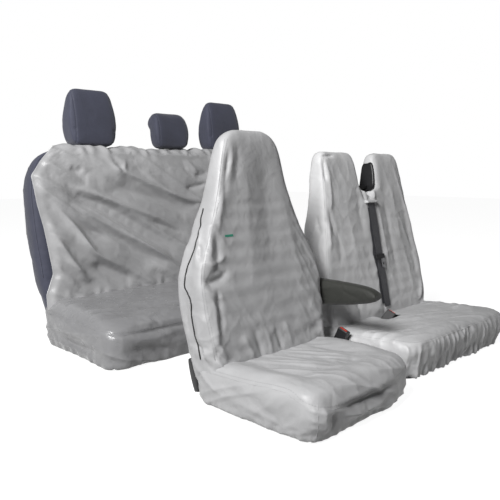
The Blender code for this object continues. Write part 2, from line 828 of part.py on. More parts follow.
def half_width_at(height):
    clamped = min(max(height, BENCH_BACK[0][0]), BENCH_BACK[-1][0])
    return interpolate(BENCH_BACK, clamped)[0]


def add_bench_back_cover(back):
    """A sheet over the front and top of the back, held at its edges, with a hole for each head rest post."""
    bm = bmesh.new()
    columns = 12
    grid = []
    for y, z in sheet_profile():
        half = half_width_at(z) - SHEET_SIDE_MARGIN
        row = []
        for i in range(columns + 1):
            x = half * (2 * i / columns - 1)
            row.append(bm.verts.new((x, y, z)))
        grid.append(row)
    for low, high in zip(grid, grid[1:]):
        for i in range(columns):
            bm.faces.new((low[i], low[i + 1], high[i + 1], high[i]))
    cover = add_object("bench_back_cover", finished("bench_back_cover", bm), "cover_fabric", back)
    thicken(cover)


# Side views of the two kinds of pad, as (y, z) from the underside. The hooked one overhangs behind.
PLAIN_PAD = (
    (-0.050, 0.030), (-0.044, 0.008), (-0.026, 0.000), (0.034, 0.000), (0.052, 0.010), (0.060, 0.040),
    (0.054, 0.110), (0.036, 0.180), (0.016, 0.235), (-0.004, 0.262), (-0.026, 0.270), (-0.044, 0.256),
    (-0.054, 0.200), (-0.056, 0.110),
)
HOOKED_PAD = (
    (-0.052, 0.020), (-0.046, 0.004), (-0.028, 0.000), (0.004, 0.000), (0.018, 0.008), (0.022, 0.030),
    (0.018, 0.076), (0.022, 0.104), (0.036, 0.122), (0.046, 0.140), (0.044, 0.160), (0.030, 0.178),
    (0.004, 0.188), (-0.024, 0.182), (-0.046, 0.160), (-0.056, 0.120), (-0.058, 0.070),
)


def add_headrest(back, name, place_x, hooked):
    """A pad on two posts that slide in sleeves set in the top of the back."""
    seat_z = BENCH_BACK_TOP + COVER_GAP + COVER_THICKNESS + 0.007
    axis = add_empty(f"bench_headrest_axis_{name}", (place_x, -0.005, seat_z), back)
    width = 2 * HEADREST_HALF_WIDTH * (0.88 if hooked else 1.0)
    flat = outline_object(
        "pad_outline",
        [HOOKED_PAD if hooked else PLAIN_PAD],
        width,
        "upholstery",
        axis,
        (0, 0, 0),
        (math.pi / 2, 0, math.pi / 2),
    )
    pad = curve_to_mesh(flat, f"bench_headrest_{name}")
    bevel(pad, 0.024, segments=3, angle_deg=60)
    for side, sign in (("a", -1), ("b", 1)):
        x = sign * POST_SPACING / 2
        post = cylinder_mesh("post", POST_RADIUS, POST_LENGTH, "Z", 12, (x, 0, -POST_LENGTH / 2 - CLEARANCE))
        add_object(f"bench_headrest_{name}_post_{side}", post, "steel", axis)
        outline_object(
            f"bench_headrest_{name}_sleeve_{side}",
            [circle(SLEEVE_RADIUS), circle(SLEEVE_BORE)],
            SLEEVE_LENGTH,
            "black_plastic",
            back,
            (place_x + x, -0.005, BENCH_BACK_TOP - SLEEVE_LENGTH / 2),
            (0, 0, 0),
        )
        bore = cylinder_mesh("bore", SLEEVE_RADIUS + CLEARANCE, 0.240, "Z", 16)
        cutter = add_cutter(f"bore_{name}_{side}", bore, back, (place_x + x, -0.005, BENCH_BACK_TOP))
        boolean(bpy.data.objects["bench_back_upholstery"], cutter)
        boolean(bpy.data.objects["bench_back_cover"], cutter)


def make_bench():
    _, back = start_seat("bench", BENCH)
    add_bench_back(back)
    add_bench_back_cover(back)
    for name, place_x, hooked in HEADREST_PLACES:
        add_headrest(back, name, place_x, hooked)


clear_scene()
PARTS = new_collection("covered_van_seats")
CUTTERS = new_collection("cutters", hidden=True)
make_materials()
make_driver_seat()
make_double_seat()
make_bench()
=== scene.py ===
"""Visual model of three van seats in fitted covers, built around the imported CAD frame. Units are metres."""

import math

import bmesh
import bpy
import numpy as np
from mathutils import Euler, Matrix, Vector, noise
from mathutils.bvhtree import BVHTree


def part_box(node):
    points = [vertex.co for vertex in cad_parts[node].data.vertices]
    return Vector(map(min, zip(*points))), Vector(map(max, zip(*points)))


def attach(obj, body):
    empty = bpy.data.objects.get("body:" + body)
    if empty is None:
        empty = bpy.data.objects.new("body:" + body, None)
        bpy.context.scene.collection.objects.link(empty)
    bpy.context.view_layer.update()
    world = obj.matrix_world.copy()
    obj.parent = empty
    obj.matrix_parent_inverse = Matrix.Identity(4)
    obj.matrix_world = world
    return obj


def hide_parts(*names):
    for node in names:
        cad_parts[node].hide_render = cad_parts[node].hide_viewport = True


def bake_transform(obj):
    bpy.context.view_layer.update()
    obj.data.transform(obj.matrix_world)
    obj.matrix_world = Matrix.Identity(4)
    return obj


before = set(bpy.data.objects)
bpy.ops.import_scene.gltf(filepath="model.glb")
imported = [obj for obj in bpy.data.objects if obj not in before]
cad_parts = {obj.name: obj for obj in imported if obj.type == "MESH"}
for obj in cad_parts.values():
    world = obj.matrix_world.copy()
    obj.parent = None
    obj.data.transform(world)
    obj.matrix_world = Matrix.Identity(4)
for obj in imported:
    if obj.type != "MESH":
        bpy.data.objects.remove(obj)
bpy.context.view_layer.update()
scene = bpy.context.scene

# Each seat's place on the floor, the axis of its back as (y, z), and its recline in degrees, as in the CAD.
DRIVER = {"place": (0.0, 0.0), "axis": (0.230, 0.105), "recline": 12.15}
DOUBLE = {"place": (0.788, 0.076), "axis": (0.228, 0.105), "recline": 11.6}
BENCH = {"place": (0.357, 1.007), "axis": (0.285, 0.205), "recline": 8.2}
HEADREST_PLACES = {"right": -0.389, "centre": 0.070, "left": 0.438}
POST_SPACING = 0.120


# ---------------------------------------------------------------- frames and small maths


def back_matrix(seat):
    x, y = seat["place"]
    turn = Matrix.Rotation(-math.radians(seat["recline"]), 4, "X")
    return Matrix.Translation((x, y + seat["axis"][0], seat["axis"][1])) @ turn


def base_matrix(seat):
    return Matrix.Translation((*seat["place"], 0.0))


def smooth(value, low, high):
    """0 below low, 1 above high, and a smooth step between them."""
    t = np.clip((np.asarray(value, float) - low) / (high - low), 0.0, 1.0)
    return t * t * (3 - 2 * t)


def hump(value, middle, width):
    return np.exp(-(((np.asarray(value, float) - middle) / width) ** 2))


def curve_through(points, step):
    """Points along a Catmull-Rom curve through the given ones, about step apart."""
    points = [np.array(p, float) for p in points]
    if len(points) == 2:
        count = max(2, int(np.linalg.norm(points[1] - points[0]) / step) + 1)
        return [points[0] + (points[1] - points[0]) * t for t in np.linspace(0, 1, count)]
    ends = [2 * points[0] - points[1], *points, 2 * points[-1] - points[-2]]
    made = []
    for a, b, c, d in zip(ends, ends[1:], ends[2:], ends[3:]):
        count = max(1, int(round(np.linalg.norm(c - b) / step)))
        for k in range(count):
            t = k / count
            bend = (2 * a - 5 * b + 4 * c - d) * t**2 + (3 * b - a - 3 * c + d) * t**3
            made.append(b + 0.5 * ((c - a) * t + bend))
    return [*made, points[-1]]


def ripple(points, scale, seed=0.0):
    """Smooth noise from -1 to 1 at each point; scale is in features per metre."""
    offset = Vector((seed, 2.7 * seed, -1.3 * seed))
    return np.array([noise.noise(Vector(p) * scale + offset) for p in points])


def creases(points, scale, seed=0.0):
    """Noise with thin ridges, from 0 to 1, as crumpled cloth has them."""
    return (1 - np.abs(ripple(points, scale, seed)) * 2.2).clip(0, 1) ** 3


def pleats(points, across, spacing, length, seed):
    """Long thin ridges about spacing apart, square to across, as pulled cloth has them; about -0.4 to 1."""
    across = np.array(across, float) / np.linalg.norm(across)
    reach = points @ across
    rest = points - reach[:, None] * across
    mixed = rest / length + (reach / spacing)[:, None] * across
    ridged = (1 - np.abs(ripple(mixed, 1.0, seed)) * 2.4).clip(0, 1) ** 1.4
    return (ridged - 0.3) * (0.5 + 0.9 * np.abs(ripple(rest / length + points * 3.0, 1.0, seed + 4)))


# ---------------------------------------------------------------- meshes


def new_object(name, mesh):
    obj = bpy.data.objects.new(name, mesh)
    scene.collection.objects.link(obj)
    return obj


def mesh_from(name, vertices, faces):
    mesh = bpy.data.meshes.new(name)
    mesh.from_pydata([tuple(v) for v in vertices], [], [tuple(f) for f in faces])
    mesh.update()
    return mesh


def points_of(obj):
    found = np.empty(len(obj.data.vertices) * 3)
    obj.data.vertices.foreach_get("co", found)
    return found.reshape(-1, 3)


def normals_of(obj):
    found = np.empty(len(obj.data.vertices) * 3)
    obj.data.vertex_normals.foreach_get("vector", found)
    return found.reshape(-1, 3)


def set_points(obj, points):
    obj.data.vertices.foreach_set("co", np.asarray(points, float).ravel())
    obj.data.update()


def apply_modifiers(obj):
    """Bakes the object's modifiers into its mesh."""
    graph = bpy.context.evaluated_depsgraph_get()
    graph.update()
    made = bpy.data.meshes.new_from_object(obj.evaluated_get(graph))
    old = obj.data
    obj.modifiers.clear()
    obj.data = made
    bpy.data.meshes.remove(old)
    return obj


def ring(width, depth, corner, steps=8):
    """A rounded rectangle about the origin with its straight sides split as finely as its corners."""
    corner = min(corner, 0.98 * width / 2, 0.98 * depth / 2)
    points = []
    for index in range(4):
        turn = index * math.pi / 2
        x = math.copysign(width / 2 - corner, math.cos(turn + math.pi / 4))
        y = math.copysign(depth / 2 - corner, math.sin(turn + math.pi / 4))
        for k in range(steps + 1):
            a = turn + k / steps * math.pi / 2
            points.append((x + corner * math.cos(a), y + corner * math.sin(a)))
    return points


def shell(name, rings):
    """A closed skin over rings of points, one after another, all with the same count."""
    bm = bmesh.new()
    placed = [[bm.verts.new(point) for point in one] for one in rings]
    for low, high in zip(placed, placed[1:]):
        for i in range(len(low)):
            j = (i + 1) % len(low)
            bm.faces.new((low[i], low[j], high[j], high[i]))
    bm.faces.new(placed[-1])
    bm.faces.new(list(reversed(placed[0])))
    bmesh.ops.recalc_face_normals(bm, faces=bm.faces)
    return new_object(name, finished(bm, name))


def finished(bm, name):
    mesh = bpy.data.meshes.new(name)
    bm.to_mesh(mesh)
    bm.free()
    return mesh


def loft(name, rows):
    """A closed loft through rows of (height, left x, right x, front y, rear y, corner radius)."""
    rings = []
    for height, left, right, front, rear, corner in curve_through(rows, 0.012):
        x, y = (left + right) / 2, (front + rear) / 2
        rings.append([(x + px, y + py, height) for px, py in ring(right - left, rear - front, corner)])
    return shell(name, rings)


def join_shells(name, *objs):
    """One mesh that holds all the shells; a voxel remesh makes them one skin."""
    bm = bmesh.new()
    for obj in objs:
        bm.from_mesh(obj.data)
        bpy.data.objects.remove(obj)
    return new_object(name, finished(bm, name))


def remesh(obj, size, relax=10):
    modifier = obj.modifiers.new("voxels", "REMESH")
    modifier.mode = "VOXEL"
    modifier.voxel_size = size
    modifier.use_smooth_shade = True
    if relax:
        soften = obj.modifiers.new("relax", "SMOOTH")
        soften.factor = 0.5
        soften.iterations = relax
    return apply_modifiers(obj)


def subdivide(obj, levels=1):
    modifier = obj.modifiers.new("finer", "SUBSURF")
    modifier.levels = modifier.render_levels = levels
    apply_modifiers(obj)
    obj.data.shade_smooth()
    return obj


def cut_away(obj, drop):
    """Deletes the vertices for which drop, an array of true and false, is true."""
    bm = bmesh.new()
    bm.from_mesh(obj.data)
    bm.verts.ensure_lookup_table()
    doomed = [bm.verts[int(i)] for i in np.nonzero(drop)[0]]
    bmesh.ops.delete(bm, geom=doomed, context="VERTS")
    bm.to_mesh(obj.data)
    bm.free()
    obj.data.update()


def settle(obj, held, pressure=2.0, excess=0.015, frames=18, cap=0.010):
    """Lets the mesh settle as cloth. held pins each vertex from 0 to 1, and cap is the most one may move."""
    before = points_of(obj)
    group = obj.vertex_groups.new(name="held")
    for level in np.unique(np.round(held, 1)):
        members = [int(i) for i in np.nonzero(np.round(held, 1) == level)[0]]
        if level > 0:
            group.add(members, float(level), "REPLACE")
    modifier = obj.modifiers.new("cloth", "CLOTH")
    cloth = modifier.settings
    cloth.quality = 5
    cloth.mass = 0.25
    cloth.tension_stiffness = cloth.compression_stiffness = 12
    cloth.shear_stiffness = 4
    cloth.bending_stiffness = 4.0
    cloth.shrink_min = -0.35 * excess
    cloth.vertex_group_mass = "held"
    cloth.pin_stiffness = 1.0
    cloth.use_pressure = pressure > 0
    cloth.uniform_pressure_force = pressure
    cloth.effector_weights.gravity = 0.0
    modifier.collision_settings.use_collision = False
    modifier.point_cache.frame_start = 1
    modifier.point_cache.frame_end = frames
    for number in range(1, frames + 1):
        scene.frame_set(number)
    graph = bpy.context.evaluated_depsgraph_get()
    settled = obj.evaluated_get(graph).to_mesh()
    after = np.empty(len(settled.vertices) * 3)
    settled.vertices.foreach_get("co", after)
    moved = after.reshape(-1, 3) - before
    length = np.linalg.norm(moved, axis=1)[:, None] + 1e-9
    obj.modifiers.clear()
    obj.vertex_groups.clear()
    scene.frame_set(1)
    set_points(obj, before + moved * np.minimum(1.0, cap * np.tanh(length / cap) / length))
    return obj


def relaxed(obj, loose, low, high, *settings):
    """Settles the padding that is above low, then refines it. Gives its points and their normals."""
    settle(obj, 1 - loose * smooth(points_of(obj)[:, 2], low, high), *settings)
    subdivide(obj)
    return points_of(obj), normals_of(obj)


def along(points, line):
    """Each point's distance to a line through 3D points, and where along it the nearest place is, 0 to 1."""
    line = np.array(line, float)
    start, span = line[:-1], line[1:] - line[:-1]
    lengths = np.linalg.norm(span, axis=1)
    so_far = np.concatenate([[0], np.cumsum(lengths)])
    best = np.full(len(points), 1e9)
    place = np.zeros(len(points))
    for i in range(len(start)):
        t = np.clip(((points - start[i]) @ span[i]) / max(lengths[i] ** 2, 1e-12), 0, 1)
        gap = np.linalg.norm(points - (start[i] + t[:, None] * span[i]), axis=1)
        closer = gap < best
        best[closer] = gap[closer]
        place[closer] = (so_far[i] + t[closer] * lengths[i]) / so_far[-1]
    return best, place


def fold(points, normals, strokes):
    """Pushes points along their normals: a stroke is (line, width, depth), above zero for a ridge."""
    lift = np.zeros(len(points))
    for line, width, depth in strokes:
        gap, place = along(points, curve_through(line, 0.03))
        ends = smooth(place, 0.0, 0.30) * (1 - smooth(place, 0.70, 1.0))
        crest = 1.35 if depth > 0 else 1.7
        lift += depth * ends * np.exp(-((gap / width) ** crest))
    return points + normals * lift[:, None]


# ---------------------------------------------------------------- materials


def shader_of(name, colour, roughness, metallic=0.0, **sockets):
    material = bpy.data.materials.new(name)
    material.use_nodes = True
    shader = material.node_tree.nodes["Principled BSDF"]
    shader.inputs["Base Color"].default_value = (*colour, 1.0)
    shader.inputs["Roughness"].default_value = roughness
    shader.inputs["Metallic"].default_value = metallic
    for socket, value in sockets.items():
        shader.inputs[socket.replace("_", " ")].default_value = value
    return material


class Nodes:
    """Short calls for wiring a material's nodes."""

    def __init__(self, material):
        self.tree = material.node_tree
        self.shader = self.tree.nodes["Principled BSDF"]
        self.place = self.add("ShaderNodeTexCoord").outputs["Object"]

    def add(self, kind, **values):
        node = self.tree.nodes.new(kind)
        for key, value in values.items():
            setattr(node, key, value)
        return node

    def link(self, source, target):
        self.tree.links.new(source, target)

    def noise(self, scale, detail=3.0, distortion=0.0, stretch=(1, 1, 1)):
        mapping = self.add("ShaderNodeMapping")
        mapping.inputs["Scale"].default_value = stretch
        self.link(self.place, mapping.inputs["Vector"])
        node = self.add("ShaderNodeTexNoise")
        node.inputs["Scale"].default_value = scale
        node.inputs["Detail"].default_value = detail
        node.inputs["Distortion"].default_value = distortion
        self.link(mapping.outputs["Vector"], node.inputs["Vector"])
        return node.outputs["Fac"]

    def bands(self, scale, direction):
        node = self.add("ShaderNodeTexWave", wave_type="BANDS", bands_direction=direction, wave_profile="SIN")
        node.inputs["Scale"].default_value = scale
        node.inputs["Distortion"].default_value = 0.4
        node.inputs["Detail"].default_value = 0.0
        self.link(self.place, node.inputs["Vector"])
        return node.outputs["Fac"]

    def maths(self, operation, first, second):
        node = self.add("ShaderNodeMath", operation=operation)
        for socket, value in zip(node.inputs, (first, second)):
            if isinstance(value, (int, float)):
                socket.default_value = value
            else:
                self.link(value, socket)
        return node.outputs[0]

    def ramp(self, source, low, high, dark, light):
        node = self.add("ShaderNodeValToRGB")
        first, last = node.color_ramp.elements
        first.position, last.position = low, high
        first.color, last.color = (*dark, 1), (*light, 1)
        self.link(source, node.inputs["Fac"])
        return node.outputs["Color"]

    def bump(self, height, strength, distance, onto=None):
        node = self.add("ShaderNodeBump")
        node.inputs["Strength"].default_value = strength
        node.inputs["Distance"].default_value = distance
        self.link(height, node.inputs["Height"])
        if onto is not None:
            self.link(onto, node.inputs["Normal"])
        return node.outputs["Normal"]


def tone(colour, factor):
    return tuple(min(1.0, channel * factor) for channel in colour)


def weave_height(nodes, threads):
    """A plain weave: two crossing sets of threads, seen the same way on every side of a piece."""
    warp = nodes.maths("MAXIMUM", nodes.bands(threads, "X"), nodes.bands(threads, "Y"))
    return nodes.maths("MULTIPLY", warp, nodes.bands(threads, "Z"))


def cloth_material(
    name, colour, roughness=0.55, sheen=0.25, threads=260, crumple=0.6, spread=0.10, wrinkle=0.0
):
    """Woven cloth: uneven dye, a fine weave, soft small creases and a slightly worn, uneven gloss."""
    material = shader_of(name, colour, roughness, Sheen_Weight=sheen, Sheen_Roughness=0.45)
    nodes = Nodes(material)
    patches = nodes.noise(5.0, 4.0)
    nodes.link(
        nodes.ramp(patches, 0.30, 0.72, tone(colour, 1 - spread), tone(colour, 1 + spread)),
        nodes.shader.inputs["Base Color"],
    )
    gloss = nodes.maths("MULTIPLY", nodes.noise(22.0, 3.0), 0.22)
    nodes.link(nodes.maths("ADD", gloss, roughness - 0.11), nodes.shader.inputs["Roughness"])
    creased = nodes.bump(nodes.noise(15.0, 4.0, 0.8), crumple, 0.006)
    if wrinkle:
        swing = nodes.maths("ABSOLUTE", nodes.maths("SUBTRACT", nodes.noise(7.0, 2.5, 0.7), 0.5), 0.0)
        thin = nodes.maths("MINIMUM", nodes.maths("MULTIPLY", swing, 9.0), 1.0)
        creased = nodes.bump(nodes.maths("MULTIPLY", thin, nodes.noise(4.0, 1.0)), wrinkle, 0.012, creased)
    small = nodes.bump(nodes.noise(70.0, 3.0, 0.3), 0.35 * crumple, 0.0012, creased)
    woven = nodes.bump(weave_height(nodes, threads), 0.30, 0.0004, small)
    nodes.link(woven, nodes.shader.inputs["Normal"])
    return material


def grained_material(name, colour, roughness, grain=420.0, strength=0.25, metallic=0.0):
    """Moulded or painted surface: fine grain, a little mottling and rubbed places."""
    material = shader_of(name, colour, roughness, metallic)
    nodes = Nodes(material)
    worn = nodes.noise(9.0, 5.0)
    nodes.link(
        nodes.ramp(worn, 0.35, 0.75, tone(colour, 0.8), tone(colour, 1.35)), nodes.shader.inputs["Base Color"]
    )
    gloss = nodes.maths("ADD", nodes.maths("MULTIPLY", worn, 0.2), roughness - 0.1)
    nodes.link(gloss, nodes.shader.inputs["Roughness"])
    nodes.link(nodes.bump(nodes.noise(grain, 2.0), strength, 0.0004), nodes.shader.inputs["Normal"])
    return material


def steel_material():
    material = shader_of("steel", (0.62, 0.62, 0.64), 0.28, 1.0)
    nodes = Nodes(material)
    brushed = nodes.noise(60.0, 4.0, 0.0, (1, 1, 0.05))
    nodes.link(
        nodes.maths("ADD", nodes.maths("MULTIPLY", brushed, 0.25), 0.16), nodes.shader.inputs["Roughness"]
    )
    nodes.link(nodes.bump(brushed, 0.1, 0.0002), nodes.shader.inputs["Normal"])
    nodes.link(
        nodes.ramp(brushed, 0.3, 0.7, (0.52, 0.52, 0.54),
            (0.68, 0.68, 0.70)), nodes.shader.inputs["Base Color"]
    )
    return material


def webbing_material():
    """Belt webbing: fine lengthwise ribs with a tight cross weave."""
    colour = (0.035, 0.035, 0.042)
    material = shader_of("webbing", colour, 0.5, Sheen_Weight=0.2, Sheen_Roughness=0.4)
    nodes = Nodes(material)
    ribs = nodes.maths("MULTIPLY", nodes.bands(75, "X"), nodes.bands(170, "Z"))
    nodes.link(
        nodes.ramp(ribs, 0.0, 1.0, tone(colour, 0.6), tone(colour, 1.9)), nodes.shader.inputs["Base Color"]
    )
    nodes.link(nodes.bump(ribs, 0.7, 0.0006), nodes.shader.inputs["Normal"])
    gloss = nodes.maths("ADD", nodes.maths("MULTIPLY", nodes.noise(30.0), 0.2), 0.38)
    nodes.link(gloss, nodes.shader.inputs["Roughness"])
    return material


# One grey cover cloth in copies toned for light and shade: the driver's copy is darker for its more shaded
# faces, the double seat's is lighter, and the double's back is lighter still for the light its front faces
# catch. These tone steps are painted light and shade, not a difference in the cloth.
COVER = cloth_material(
    "cover_cloth_driver", (0.37, 0.37, 0.375), 0.42, 0.12, crumple=0.4, wrinkle=0.12
)
COVER_DOUBLE = cloth_material(
    "cover_cloth_double", (0.46, 0.46, 0.465), 0.44, 0.12, crumple=0.5, wrinkle=0.14
)
COVER_DOUBLE_BACK_PAINTED_LIGHTER = cloth_material(
    "cover_cloth_double_back", (0.56, 0.56, 0.565), 0.50, 0.12, crumple=0.35, wrinkle=0.10
)
COVER_BENCH = cloth_material(
    "cover_cloth_bench", (0.37, 0.37, 0.375), 0.32, 0.10, crumple=0.35, wrinkle=0.08
)
COVER_SEAT = cloth_material(
    "cover_cloth_bench_seat", (0.22, 0.22, 0.225), 0.24, 0.08, crumple=0.45, wrinkle=0.15
)
SLATE = cloth_material("slate_upholstery", (0.040, 0.043, 0.068), 0.75, 0.3, 200, 0.3, 0.2)
SLEEVE = cloth_material("armrest_cloth", (0.020, 0.021, 0.017), 0.65, 0.15, 240, 0.3, 0.2)
THREAD = cloth_material("stitching_thread", (0.22, 0.22, 0.225), 0.6, 0.2, 900, 0.1)
STITCH_DARK = cloth_material("slate_thread", (0.09, 0.095, 0.12), 0.6, 0.2, 900, 0.1)
BINDING = cloth_material("black_binding", (0.006, 0.006, 0.006), 0.7, 0.1, 500, 0.2)
TAG = cloth_material("green_tag", (0.02, 0.20, 0.13), 0.6, 0.1, 600, 0.1)
BLACK = grained_material("black_plastic_grained", (0.010, 0.010, 0.011), 0.42)
RED = grained_material("red_button_plastic", (0.72, 0.045, 0.018), 0.32, 300.0, 0.05)
PAINT = grained_material("painted_steel_satin", (0.045, 0.045, 0.05), 0.4, 150.0, 0.12, 0.3)
STEEL = steel_material()
WEBBING = webbing_material()


def dress(obj, material, body="root", replaced=()):
    """Gives a finished piece its material and the body it rides on."""
    obj.data.materials.clear()
    obj.data.materials.append(material)
    if body is not None:
        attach(obj, body)
    if replaced:
        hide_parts(*replaced)
    return obj


# ---------------------------------------------------------------- seams and stitches


class Skin:
    """Finds the nearest place on a piece's surface."""

    def __init__(self, obj):
        self.tree = BVHTree.FromPolygons(
            [v.co.copy() for v in obj.data.vertices], [list(p.vertices) for p in obj.data.polygons]
        )

    def at(self, point, lift=0.0):
        place, normal, _, _ = self.tree.find_nearest(Vector(point))
        return place + normal * lift, normal

    def line(self, points, step=0.008, lift=0.0):
        placed = [self.at(p, lift)[0] for p in curve_through(points, step)]
        for _ in range(2):
            inner = [(a + 2 * b + c) / 4 for a, b, c in zip(placed, placed[1:], placed[2:])]
            placed = [placed[0], *inner, placed[-1]]
        return placed


def tube_mesh(name, points, radius, sides=6, flat=1.0):
    """A closed tube along the points; flat under 1 squeezes it against the surface's up direction."""
    vertices, faces = [], []
    side = None
    for i, point in enumerate(points):
        ahead = Vector(points[min(i + 1, len(points) - 1)]) - Vector(points[max(i - 1, 0)])
        ahead.normalize()
        if side is None:
            side = ahead.orthogonal().normalized()
        side = (side - ahead * side.dot(ahead)).normalized()
        up = ahead.cross(side)
        for k in range(sides):
            a = 2 * math.pi * k / sides
            vertices.append(Vector(point) + radius * (math.cos(a) * side + flat * math.sin(a) * up))
    for i in range(len(points) - 1):
        for k in range(sides):
            j = (k + 1) % sides
            faces.append((i * sides + k, i * sides + j, (i + 1) * sides + j, (i + 1) * sides + k))
    faces.append(tuple(reversed(range(sides))))
    last = (len(points) - 1) * sides
    faces.append(tuple(range(last, last + sides)))
    mesh = mesh_from(name, vertices, faces)
    mesh.shade_smooth()
    return mesh


def finish_trim(obj, place, material, body="root", slot="cover_fabric", blended=None):
    """Moves a piece of trim from its seat's frame into the world and dresses it: it rides on body, or, when
    blended is given, it is left on no body with its placement baked into its mesh.
    """
    to_world(obj, place)
    dress(obj, material, None if blended else body)
    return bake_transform(obj) if blended else obj


def add_seam(name, skin, points, radius, step, lift, *finish, **more):
    """A thin raised cord that follows the surface."""
    obj = new_object(name, tube_mesh(name, skin.line(points, step, lift), radius))
    return finish_trim(obj, *finish, **more)


def add_stitches(name, skin, points, *finish, **more):
    return finish_trim(new_object(name, stitch_mesh(skin, points)), *finish, **more)


# ---------------------------------------------------------------- covers of the cushions

CUSHION_LEVELS = (0.0, 0.03, 0.08, 0.2, 0.35, 0.5, 0.6, 0.7, 0.78, 0.85, 0.91, 0.96, 0.99, 1.0)


def wall(share, roll, start, tuck):
    """How far a cushion's wall is drawn in at a share of its height: rolled at the top, tucked in below."""
    above = max(0.0, (share - start) / (1 - start))
    rolled = roll * (1 - math.sqrt(max(0.0, 1 - above**2.2)))
    hem = 0.010 * max(0.0, 1 - share / 0.07) ** 2
    return rolled + hem + tuck * max(0.0, 1 - share / start)


def cushion_cover(name, size, slope, corner, front_roll, side_roll, hollow=0.010, front_tuck=0.012):
    """One cushion cover's remeshed shell, dished as a seat is. size is half, front, rear, bottom, top."""
    half, front, rear, bottom, top = size
    rows = []
    for share in CUSHION_LEVELS:
        side = wall(share, *side_roll, 0.004)
        near = wall(share, *front_roll, front_tuck)
        height = bottom + share * (top - bottom)
        rows.append((height, -half + side, half - side, front + near, rear - side, corner))
    obj = loft(name, rows)
    points = points_of(obj)
    middle = (front + rear) / 2
    share = ((points[:, 2] - bottom) / (top - bottom)).clip(0, 1)
    points[:, 2] -= share * slope * (points[:, 1] - middle)
    set_points(obj, points)
    remesh(obj, VOXEL)
    points = points_of(obj)
    inside = smooth(half - np.abs(points[:, 0]), 0.03, 0.14) * smooth(points[:, 1] - front, 0.05, 0.16)
    above = smooth(points[:, 2], bottom + 0.6 * (top - bottom), top)
    points[:, 2] -= above * inside * hollow
    set_points(obj, points)
    return obj


def hem_gathers(points, normals, bottom, reach, depth, per_metre, seed):
    """Vertical puckers that die out upwards from an elastic hem."""
    flat = np.abs(normals[:, 2]) < 0.75
    run = np.where(np.abs(normals[:, 0]) > np.abs(normals[:, 1]), points[:, 1] + 0.4, points[:, 0])
    spread = np.array([noise.noise(Vector((r * 9.0, seed, 0.0))) for r in run])
    wave = np.sin(2 * math.pi * per_metre * (run + 0.035 * spread))
    wave = wave * (0.55 + 0.45 * np.array([noise.noise(Vector((r * 14.0, seed + 3, 0.0))) for r in run]))
    fade = (1 - smooth(points[:, 2], bottom, bottom + reach)) * flat
    return points + normals * (depth * wave * fade)[:, None]


def crumple(points, normals, mask, seed, coarse=0.0030, fine=0.0012):
    lift = coarse * ripple(points, 9.0, seed) + fine * ripple(points, 24.0, seed + 5)
    lift += 1.4 * fine * (creases(points, 13.0, seed + 9) - 0.3)
    return points + normals * (lift * mask)[:, None]


def to_world(obj, matrix):
    obj.data.transform(matrix)
    obj.data.update()


def trim_inside(obj, floor):
    """Opens the underside: the cover ends in a hem that is turned in under the cushion."""
    points, normals = points_of(obj), normals_of(obj)
    low, high = points.min(0), points.max(0)
    edge = np.minimum.reduce(
        [points[:, 0] - low[0], high[0] - points[:, 0], points[:, 1] - low[1], high[1] - points[:, 1]]
    )
    cut_away(obj, (normals[:, 2] < -0.6) & (points[:, 2] < floor) & (edge > 0.045))


def thicken(obj, thickness=0.0012):
    modifier = obj.modifiers.new("cloth_thickness", "SOLIDIFY")
    modifier.thickness = thickness
    modifier.offset = -1.0
    return obj


VOXEL = 0.0085


